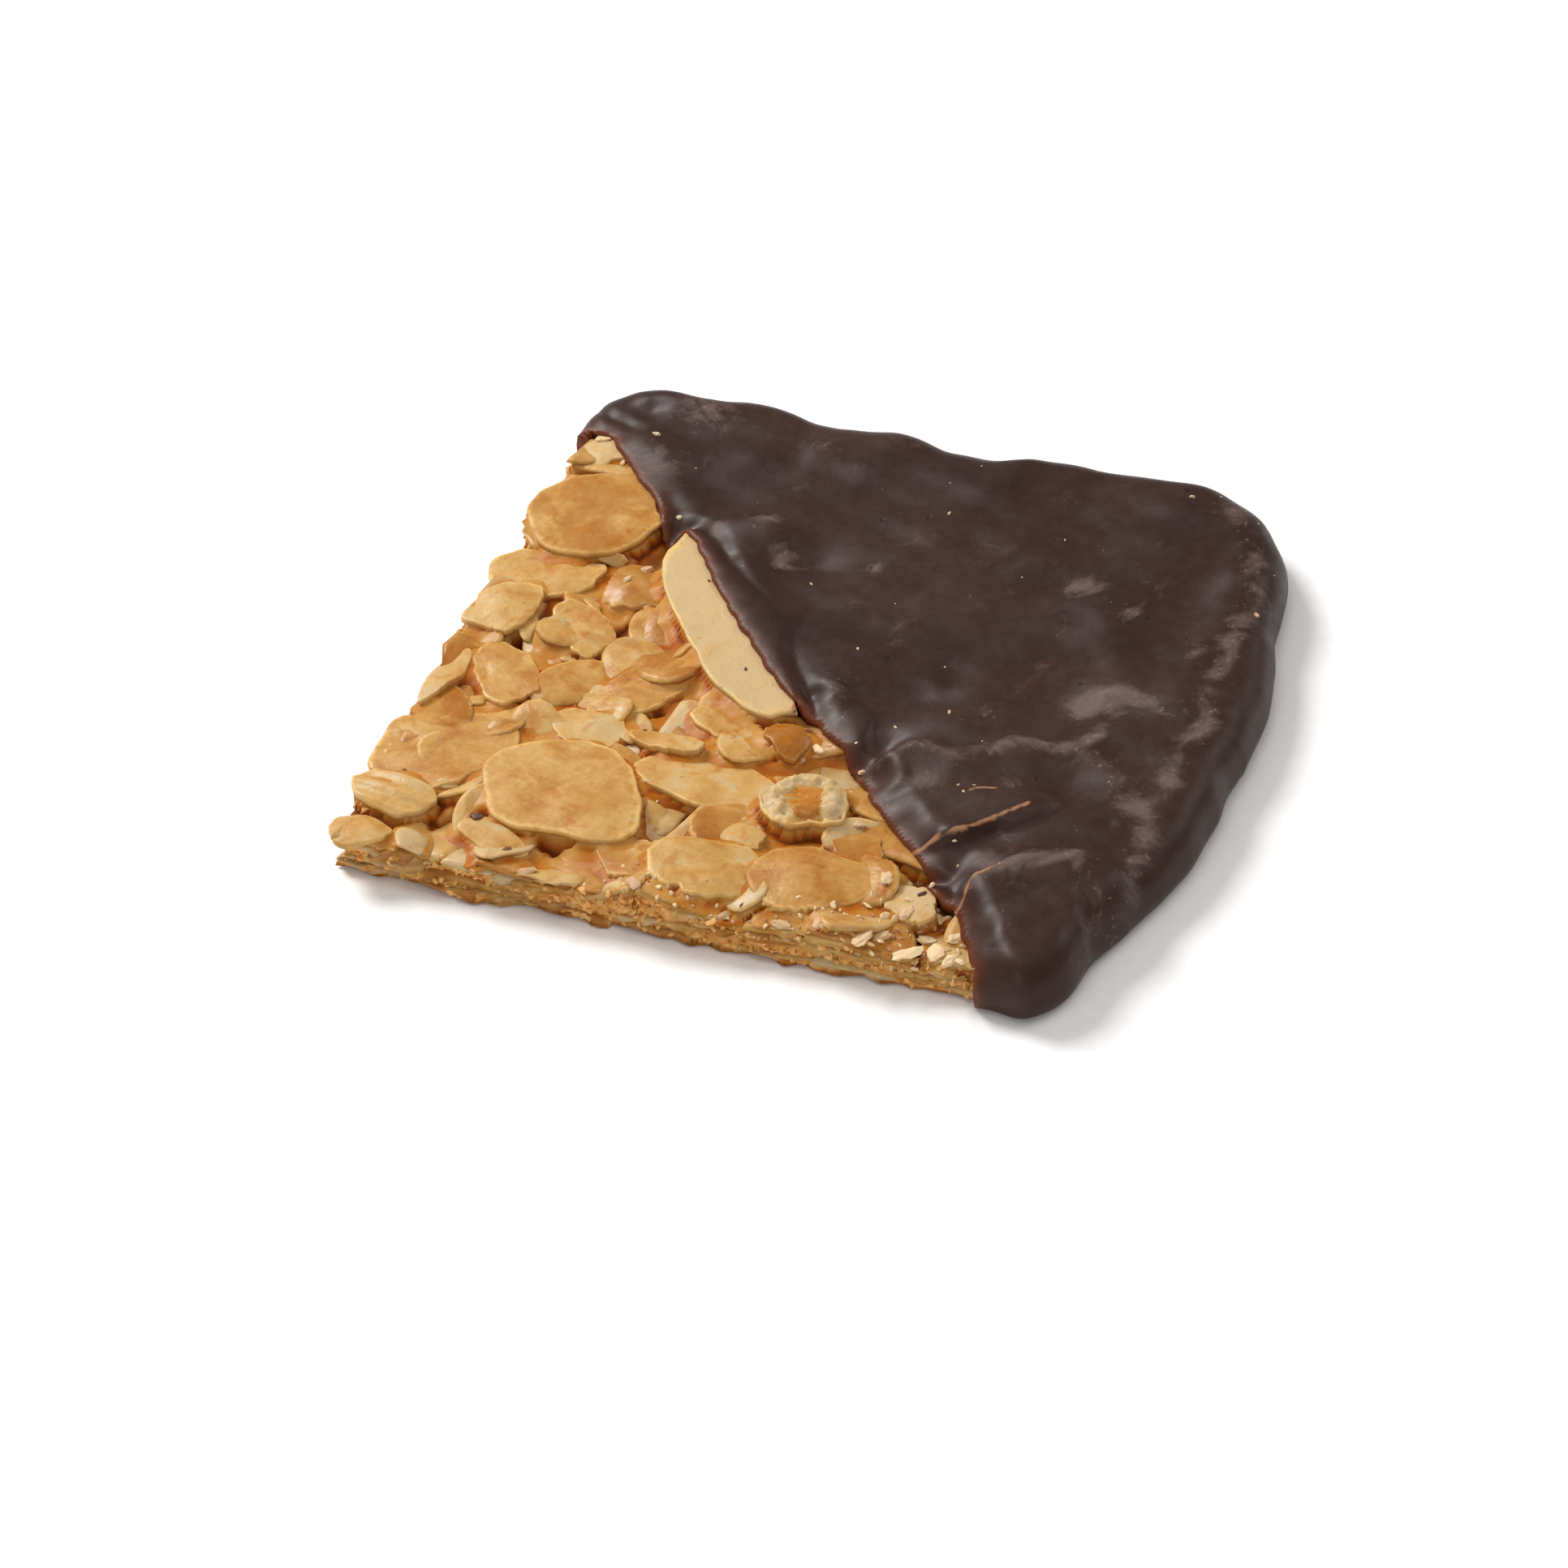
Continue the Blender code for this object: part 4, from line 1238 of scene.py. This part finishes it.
def coat_grid(reach, covered):
    """Points and faces of the chocolate's whole outside, as if all of the square were dipped:
    a square grid on top, rings down the side and the same grid underneath."""
    line = np.linspace(-1, 1, COAT_CELLS + 1)
    u, v = np.meshgrid(line, line, indexing="ij")
    share = np.maximum(abs(u), abs(v))
    angle = np.arctan2(v, u)
    outline = reach(angle)

    def plan(inset):
        return share * (outline - inset) * np.cos(angle), share * (outline - inset) * np.sin(angle)

    x, y = plan(SHOULDER_IN)
    height = draped_height(x, y, covered)
    foot_x, foot_y = plan(FOOT_IN)
    side = COAT_CELLS + 1
    loop = [i * side for i in range(side - 1)] + [(side - 1) * side + j for j in range(side - 1)]
    loop += [(side - 1 - i) * side + side - 1 for i in range(side - 1)]
    loop += [side - 1 - j for j in range(side - 1)]
    rim = rim_rings(height.ravel()[loop], angle.ravel()[loop], outline.ravel()[loop])
    points = np.vstack([np.stack([x, y, height], 2).reshape(-1, 3), *rim,
                        np.stack([foot_x, foot_y, 0 * x], 2).reshape(-1, 3)])
    faces = []
    under = side * side + RIM_RINGS * len(loop)
    for i in range(COAT_CELLS):
        for j in range(COAT_CELLS):
            first = i * side + j
            quad = (first, first + side, first + side + 1, first + 1)
            faces.append(quad)
            faces.append(tuple(under + corner for corner in reversed(quad)))
    starts = [side * side + k * len(loop) for k in range(RIM_RINGS)]
    rings = [loop] + [range(start, start + len(loop)) for start in starts]
    for upper, lower in zip(rings, rings[1:]):
        for k in range(len(loop)):
            after = (k + 1) % len(loop)
            faces.append((upper[k], lower[k], lower[after], upper[after]))
    return points, faces


def drawn_to_border(rim):
    """Moves the points of a sheet's rim on to the chocolate's border."""
    step = 0.02                # over which the border's distance is seen to change
    for _ in range(2):
        spots = np.array([vert.co for vert in rim])
        gap = border_distance(spots[:, 0], spots[:, 1])
        slope_x = (border_distance(spots[:, 0] + step, spots[:, 1]) - gap) / step
        slope_y = (border_distance(spots[:, 0], spots[:, 1] + step) - gap) / step
        for vert, d, sx, sy in zip(rim, gap, slope_x, slope_y):
            vert.co.x -= d * sx
            vert.co.y -= d * sy


def chocolate_sheet(look, reach, covered):
    """The outside of the dipped half's chocolate, cut off along its border."""
    points, faces = coat_grid(reach, covered)
    away = border_distance(points[:, 0], points[:, 1])
    faces = [face for face in faces if min(away[corner] for corner in face) > -0.16]
    bm = bmesh.new()
    verts = [bm.verts.new(point) for point in points]
    for face in faces:
        bm.faces.new([verts[corner] for corner in face])
    loose = [vert for vert in bm.verts if not vert.link_faces]
    bmesh.ops.delete(bm, geom=loose, context="VERTS")
    bmesh.ops.remove_doubles(bm, verts=bm.verts[:], dist=0.004)
    drawn_to_border([vert for vert in bm.verts if vert.is_boundary])
    face_outwards(bm)
    spots = np.array([vert.co for vert in bm.verts])
    return bmesh_piece("chocolate_sheet", bm, look), spots


def chocolate_coat(look, covered):
    """The dipped half's chocolate as a closed shell: its top draped over the slices near the
    border, a rounded rim, and its underside."""
    reach = coat_reach()
    sheet, spots = chocolate_sheet(look, reach, covered)
    away = border_distance(spots[:, 0], spots[:, 1])
    set_values(sheet, "thin", np.exp(-np.maximum(away, 0) / 0.45))
    set_values(sheet, "scuff", scuffs(spots[:, 0], spots[:, 1]) * (spots[:, 2] > 3))
    set_values(sheet, "haze", bloom_and_highlight_veil(spots[:, 0], spots[:, 1]))
    group = sheet.vertex_groups.new(name="body")
    turn = np.arctan2(spots[:, 1], spots[:, 0])
    from_rim = reach(turn) - np.hypot(spots[:, 0], spots[:, 1])
    body = np.maximum(0.5 + 0.3 * step_up(0.0, 2.0, away), 1 - step_up(0.6, 2.4, from_rim))
    for number, weight in enumerate(body):
        group.add([number], float(weight), "REPLACE")
    wall = sheet.modifiers.new("wall", "SOLIDIFY")
    wall.thickness = SHELL
    wall.offset = -1.0
    wall.vertex_group = "body"
    solid = settled_mesh(sheet, "dark_chocolate_coat")
    bpy.data.objects.remove(sheet)
    solid.shade_smooth()
    return shown("dark_chocolate_coat", solid)


# Crests that were rubbed: start, end, reach.
SCUFFS = (
    ((14.4, -19.2), (18.2, -17.0), 0.30), ((18.2, -17.0), (22.0, -13.0), 0.22),
    ((16.8, -12.6), (18.6, -11.6), 0.16), ((19.8, -25.2), (20.3, -22.4), 0.24),
    ((20.3, -22.4), (22.0, -20.2), 0.20),
)
# Spots where the bloom and a painted sheen gather: x, y, radius.
BLOOM_AND_SHEEN_SPOTS = (
    (17.5, 13.0, 1.6), (24.0, 0.4, 2.0), (14.9, -3.6, 1.0), (2.7, -3.8, 1.6), (-13.0, 12.2, 1.3),
    (-10.2, 13.9, 1.6), (-7.2, 10.0, 1.4), (0.5, 11.0, 1.0), (-9.0, 23.9, 1.5), (-21.0, 18.5, 2.4),
    (28.0, 8.0, 1.3), (21.3, 10.6, 1.2), (13.5, -12.0, 1.8), (19.5, -11.0, 1.4), (-20.0, 26.0, 2.4),
)
# Crests where the bloom gathers, and the right rim where a highlight is painted: the points of each
# line, and its reach.
BLOOM_AND_HIGHLIGHT_LINES = (
    (((7.2, -12.1), (11.3, -8.9), (15.0, -9.6), (18.7, -6.8), (23.2, -5.5), (24.8, -0.4)), 1.0),
    (((23.2, -5.5), (27.7, -8.5), (31.0, -12.0), (31.4, -18.0), (30.8, -22.0), (31.4, -27.0)), 1.1),
    (((20.5, -22.0), (23.1, -19.2), (27.3, -17.8), (30.0, -21.0)), 1.0),
    (((30.3, 3.7), (31.5, 0.5), (30.6, -6.9)), 1.1),
    (((24.2, 26.6), (28.0, 23.0), (30.4, 16.0), (30.3, 6.0)), 1.3),
    (((21.9, -0.7), (25.4, 1.1), (28.3, 0.4)), 1.4),
)


def beside_line(x, y, start, end, reach):
    """1 on a straight line, fading to 0 over about its reach."""
    start = np.array(start)
    run = np.array(end) - start
    share = np.clip(((x - start[0]) * run[0] + (y - start[1]) * run[1]) / (run @ run), 0, 1)
    gap = np.hypot(x - start[0] - share * run[0], y - start[1] - share * run[1])
    return np.exp(-(gap / reach) ** 2)


def scuffs(x, y):
    """How far the chocolate is rubbed, 0 to 1."""
    wear_and_highlight = np.zeros_like(x)
    for start, end, reach in SCUFFS:
        wear_and_highlight = np.maximum(wear_and_highlight, beside_line(x, y, start, end, reach))
    return wear_and_highlight


def bloom_and_highlight_veil(x, y):
    """How far the bloom, the painted sheen and the painted rim highlight gather, 0 to 1."""
    veil = np.zeros_like(x)
    for spot_x, spot_y, radius in BLOOM_AND_SHEEN_SPOTS:
        veil = np.maximum(veil, mound(x, y, spot_x, spot_y, radius))
    for line, reach in BLOOM_AND_HIGHLIGHT_LINES:
        for start, end in zip(line, line[1:]):
            veil = np.maximum(veil, beside_line(x, y, start, end, reach))
    return veil


# ---------------------------------------------------------------- bits

def patch(piece, wanted):
    """The faces of a piece that pass a test of their middles and how far they face up, as
    ground for bits."""
    mesh = piece.data
    middles = np.zeros(len(mesh.polygons) * 3, np.float32)
    normals = np.zeros(len(mesh.polygons) * 3, np.float32)
    mesh.polygons.foreach_get("center", middles)
    mesh.polygons.foreach_get("normal", normals)
    x, y, z = ((middles.reshape(-1, 3) - np.array(MIDDLE)) / MM).T
    kept = wanted(x, y, z, normals.reshape(-1, 3)[:, 2])
    bm = bmesh.new()
    bm.from_mesh(mesh)
    drop = [face for face, keep in zip(bm.faces, kept) if not keep]
    bmesh.ops.delete(bm, geom=drop, context="FACES")
    mesh = bpy.data.meshes.new("patch")
    bm.to_mesh(mesh)
    bm.free()
    return shown("patch", mesh)


def placed_bits(name, rows, ground, look, seed):
    """Bits in chosen places: x, y, length, thickness as a share of it, tone. Each rests on
    the ground."""
    bm = bmesh.new()
    tone = []
    for number, (x, y, length, flat, shade) in enumerate(rows):
        draw = np.random.default_rng(seed + number)
        height = tops(ground, [x], [y], 0.6)[0]
        made = bmesh.ops.create_icosphere(bm, subdivisions=2, radius=0.5)
        stretch = (length, length * draw.uniform(0.4, 0.7), length * flat)
        turn = Matrix.Rotation(draw.uniform(0, math.pi), 3, "Z")
        lean = Matrix.Rotation(draw.uniform(-0.25, 0.25), 3, "X")
        for vert in made["verts"]:
            pull = draw.uniform(0.66, 1.15)
            local = Vector([part * way * pull for part, way in zip(vert.co, stretch)])
            vert.co = turn @ lean @ local + Vector((x, y, height + length * flat * 0.12))
            tone.append(shade)
    piece = bmesh_piece(name, bm, look)
    piece.data.shade_flat()
    set_values(piece, "tone", tone)
    kept_up(piece)
    return piece


# ---------------------------------------------------------------- camera, light and floor

VIEW_TURN = 24.83              # of the camera round the florentine, in degrees from the front
VIEW_RISE = 40.7
VIEW_ROLL = math.radians(-5.69)
VIEW_FAR = 511.5
VIEW_ASIDE = (-3.32, -5.76)    # the camera's place beside the line to the square's middle
VIEW_LIFT = -0.8
LENS = 100                     # focal length and sensor width
SENSOR = 24
FLOOR_REACH = 1500.0
FLOOR_DROP = 0.01 * MM         # how far the floor lies below height 0


def way_out(turn, rise):
    """The direction at a turn from the front and a rise from the floor, in degrees."""
    turn = math.radians(turn)
    rise = math.radians(rise)
    return Vector((math.sin(turn) * math.cos(rise), -math.cos(turn) * math.cos(rise),
                   math.sin(rise)))


def add_camera():
    """A camera with a long lens, rolled a little, at the florentine's front right."""
    back = way_out(VIEW_TURN, VIEW_RISE)
    right = way_out(VIEW_TURN + 90, 0)
    up = back.cross(right)
    rolled_right = right * math.cos(VIEW_ROLL) + up * math.sin(VIEW_ROLL)
    rolled_up = up * math.cos(VIEW_ROLL) - right * math.sin(VIEW_ROLL)
    place = back * VIEW_FAR + rolled_right * VIEW_ASIDE[0] + rolled_up * VIEW_ASIDE[1]
    place.z += VIEW_LIFT
    data = bpy.data.cameras.new("camera")
    data.lens = LENS
    data.sensor_width = SENSOR
    data.clip_start = 0.02
    camera = shown("camera", data)
    axes = Matrix((rolled_right, rolled_up, back)).transposed()
    camera.matrix_world = Matrix.Translation(MIDDLE + place * MM) @ axes.to_4x4()
    bpy.context.scene.camera = camera


def add_softbox(name, turn, rise, far, size, power):
    """A large soft light at a turn and rise around the florentine, facing it."""
    data = bpy.data.lights.new(name, "AREA")
    data.shape = "DISK"
    data.size = size
    data.energy = power
    light = shown(name, data)
    way = way_out(turn, rise)
    light.location = MIDDLE + way * far
    light.rotation_euler = way.to_track_quat("Z", "Y").to_euler()


def add_studio():
    """Softboxes behind, above and in front, and a pale even world."""
    add_softbox("rear_left_softbox", 246, 44, 0.75, 0.32, 5.6)
    add_softbox("rear_right_softbox", 138, 34, 0.8, 0.45, 1.4)
    add_softbox("overhead_softbox", 30, 82, 0.8, 0.5, 1.2)
    add_softbox("front_fill", 0, 24, 0.9, 0.6, 1.7)
    world = bpy.data.worlds.new("studio")
    world.use_nodes = True
    background = world.node_tree.nodes["Background"]
    background.inputs["Color"].default_value = (1.0, 0.985, 0.965, 1.0)
    background.inputs["Strength"].default_value = 0.31
    bpy.context.scene.world = world
    bpy.context.scene.view_settings.view_transform = "Standard"


def add_floor():
    """A plain white surface, just under the florentine."""
    made = Finish("white_surface", roughness=0.6, ior=1.3)
    pulp = made.clouds(1.2, 4.0, 0.6)
    colour = made.ramp(pulp, (0.3, (0.90, 0.893, 0.886, 1)), (0.7, (0.93, 0.923, 0.916, 1)))
    look = made.done(base_color=colour, normal=made.bumped(pulp, 0.02))
    corners = ((-1, -1, 0), (1, -1, 0), (1, 1, 0), (-1, 1, 0))
    floor = mesh_piece("white_floor", np.array(corners) * FLOOR_REACH, [(0, 1, 2, 3)], look)
    floor.location.z = -FLOOR_DROP


# ---------------------------------------------------------------- the florentine

# Larger crumbs: x, y, length, thickness as a share of it, tone.
ALMOND_CRUMBS = (
    (3.4, -9.6, 1.4, 0.45, 0.8), (13.9, -22.8, 1.6, 0.4, 0.6), (16.6, -25.6, 1.8, 0.25, 0.6),
    (15.4, -27.8, 1.6, 0.28, 0.5), (18.4, -26.6, 1.9, 0.3, 0.7), (19.6, -28.0, 2.0, 0.3, 0.75),
    (21.0, -28.6, 1.7, 0.4, 0.9), (17.6, -28.6, 2.6, 0.16, 0.8), (20.6, -26.4, 1.4, 0.35, 0.7),
    (21.7, -28.5, 1.2, 0.4, 1.0), (14.2, -28.8, 2.4, 0.18, 0.6), (10.6, -28.4, 1.5, 0.3, 0.5),
    (7.6, -28.6, 1.9, 0.25, 0.45), (3.0, -28.5, 1.6, 0.3, 0.4), (-4.2, -28.6, 1.7, 0.25, 0.4),
    (-13.0, -28.7, 1.6, 0.25, 0.35), (11.0, -26.4, 1.1, 0.35, 0.6), (18.6, -24.4, 1.3, 0.4, 0.85),
    (16.2, -24.2, 0.8, 0.5, 0.7), (13.2, -26.8, 0.6, 0.6, 0.9), (17.4, -22.4, 0.7, 0.6, 0.9),
    (7.4, -10.9, 0.8, 0.5, 0.7), (0.4, -6.9, 1.0, 0.6, 0.1), (1.8, -7.9, 0.9, 0.6, 0.2),
    (2.6, -11.0, 1.0, 0.4, 0.3), (9.6, -17.2, 1.2, 0.4, 0.5), (-27.2, 21.4, 1.3, 0.4, 0.6),
    (-24.6, 19.2, 0.8, 0.5, 0.8), (-17.6, 7.0, 1.2, 0.4, 0.5), (-18.4, 5.0, 1.0, 0.4, 0.7),
)
# Specks in the chocolate, in the same way.
SPECKS = (
    (-22.8, 22.2, 0.75, 0.6, 0.9), (-17.3, 13.3, 0.6, 0.6, 0.8), (-15.4, 11.8, 0.5, 0.6, 0.7),
    (3.8, 18.8, 0.45, 0.6, 0.7), (21.7, 26.0, 0.5, 0.6, 0.8), (-3.8, 7.8, 0.35, 0.6, 0.8),
    (2.7, 1.0, 0.35, 0.6, 0.8), (12.2, -4.3, 0.5, 0.6, 0.5), (8.6, -6.6, 0.35, 0.6, 0.9),
    (17.6, -18.0, 0.4, 0.6, 0.9), (18.4, -19.6, 0.35, 0.6, 1.0), (31.0, 13.8, 0.6, 0.8, 0.4),
    (15.8, -12.2, 0.35, 0.5, 0.7), (16.5, -12.9, 0.30, 0.5, 0.8), (17.0, -12.0, 0.28, 0.5, 0.7),
    (6.4, -9.2, 0.3, 0.6, 0.9),
)
# Flecks of brown almond skin, in the same way.
SKIN_FLECKS = (
    (16.9, -23.3, 0.9, 0.3, 0.1), (-18.8, -24.6, 1.3, 0.35, 0.35), (-15.2, -27.2, 0.8, 0.4, 0.7),
    (-21.3, 7.0, 0.8, 0.3, 0.3), (-26.4, -21.0, 0.5, 0.3, 0.4), (-10.2, -11.6, 0.4, 0.4, 0.2),
    (4.2, -28.0, 0.5, 0.3, 0.4), (-4.9, -3.6, 0.45, 0.5, 0.2), (-11.6, 5.6, 0.3, 0.5, 0.3),
)


def add_slices(look):
    """The slices that stand out on top, each in place of its solid."""
    prominent = []
    for number, name in enumerate(SLICE_NODES):
        piece = prominent_slice(name, look, number)
        shown_by(piece, "toasted_almond", name)
        prominent.append(piece)
    return prominent


def strew(name, slot, ground, shapes, look, **sizes):
    """Bits scattered over a ground, which move with the florentine."""
    shown_by(scatter(name, ground, shapes, look, **sizes), slot)


def add_crumbs(mass, crumb):
    """Golden crumbs on the cut sides, and pale ones by the front edge and the front corner."""
    golden = bit_finish("golden_crumb", tint(170, 98, 34), tint(228, 172, 96), 0.5)
    cut_sides = patch(mass, lambda x, y, z, up: (abs(up) < 0.5) & (z > 0.5) & (z < 4.4)
                      & ((x < 1.5 - CUT) | (y < 1.5 - CUT)) & (border_distance(x, y) < 0.0))
    strew("crumbs_on_cut_sides", "pale_almond", cut_sides, crumb_shapes("crumb", 6), golden,
          bits_per_square_metre=5.0e6, least_spacing=0.30 * MM, seed=5,
          smallest=0.3, largest=1.0)
    front_edge = patch(mass, lambda x, y, z, up: (up > 0.3) & (z > 1.2) & (y < -26.2)
                       & (abs(x - 2) < 11))
    strew("crumbs_by_front_edge", "pale_almond", front_edge, crumb_shapes("crumb", 6), crumb,
          bits_per_square_metre=1.6e6, least_spacing=0.5 * MM, seed=15,
          smallest=0.25, largest=0.8)
    front_corner = patch(mass, lambda x, y, z, up: (up > 0.3) & (z > 1.2) & (y < -23.5)
                         & (x >= 13))
    strew("crumbs_by_front_corner", "pale_almond", front_corner, crumb_shapes("shard", 6, 0.4),
          crumb, bits_per_square_metre=3.4e6, least_spacing=0.5 * MM, seed=16,
          smallest=0.35, largest=1.15)


def add_slivers(mass, buried, prominent, look):
    """Snapped bits of almond where the caramel lies open between the slices."""
    slices = tree_of([buried, *prominent])
    standing = tree_of(prominent)
    ground = patch(mass, lambda x, y, z, up: (up > 0.5) & (z > tops(slices, x, y, 0.0))
                   & (tops(standing, x, y, 0.0) < 1.0) & (x > -26.5) & (abs(y + 9) < 17)
                   & (border_distance(x, y) < -1.4))
    shapes = loose_slice_shapes("sliver", 9, (2.8, 5.4), (0.34, 0.7), SLIVER_THICKNESS, 18, 2)
    slivers = scatter("almond_slivers", ground, shapes, look, bits_per_square_metre=1.6e5,
                      least_spacing=2.8 * MM, seed=31, smallest=0.6, largest=1.1, lean=0.22,
                      smooth=True)
    retoned(slivers, 0.16, 0.50)
    set_values(slivers, "glaze", -0.05)
    shown_by(slivers, "toasted_almond")


def add_grains(mass, coat, dust):
    """Sugar grains on the bare half and fine specks on the chocolate."""
    grain = bit_finish("sugar_grain", tint(236, 214, 184), tint(255, 250, 242), 0.15)
    open_top = patch(mass, lambda x, y, z, up: (up > 0.5) & (z > 2.4))
    strew("sugar_grains", "pale_almond", open_top, crumb_shapes("grain", 3, 1.0), grain,
          bits_per_square_metre=4.0e4, least_spacing=1.4 * MM, seed=8,
          smallest=0.12, largest=0.26)
    coat_top = patch(coat, lambda x, y, z, up: (up > 0.6) & (z > 4.0))
    strew("specks_on_chocolate", "pale_almond", coat_top, crumb_shapes("speck", 3), dust,
          bits_per_square_metre=1.6e4, least_spacing=2.0 * MM, seed=12,
          smallest=0.10, largest=0.22)


def build():
    """The whole scene: slab, slices, chocolate, bits, camera, lights and floor."""
    almond = almond_finish()
    crumb = bit_finish("almond_crumb", tint(150, 88, 38), tint(230, 202, 156), 0.5)
    dust = bit_finish("speck", tint(170, 120, 70), tint(226, 205, 168), 0.5)
    skin = bit_finish("almond_skin", tint(62, 30, 20), tint(128, 78, 46), 0.4)

    prominent = add_slices(almond)
    buried = buried_slices(almond)
    mass = caramel_mass([buried, *prominent], caramel_finish())
    shown_by(mass, "almond_caramel", "almond_slab")
    shown_by(buried, "toasted_almond")
    coat = chocolate_coat(chocolate_finish(), tree_of([mass, buried, *prominent]))
    shown_by(coat, "dark_chocolate", "chocolate_coat")

    add_crumbs(mass, crumb)
    add_slivers(mass, buried, prominent, almond)
    add_grains(mass, coat, dust)
    ground = tree_of([mass, buried, *prominent, coat])
    for name, rows, look, seed, slot in (
            ("larger_almond_crumbs", ALMOND_CRUMBS, crumb, 500, "pale_almond"),
            ("specks_in_chocolate", SPECKS, dust, 600, "pale_almond"),
            ("almond_skin_flecks", SKIN_FLECKS, skin, 700, "toasted_almond")):
        shown_by(placed_bits(name, rows, ground, look, seed), slot)

    add_camera()
    add_studio()
    add_floor()


build()
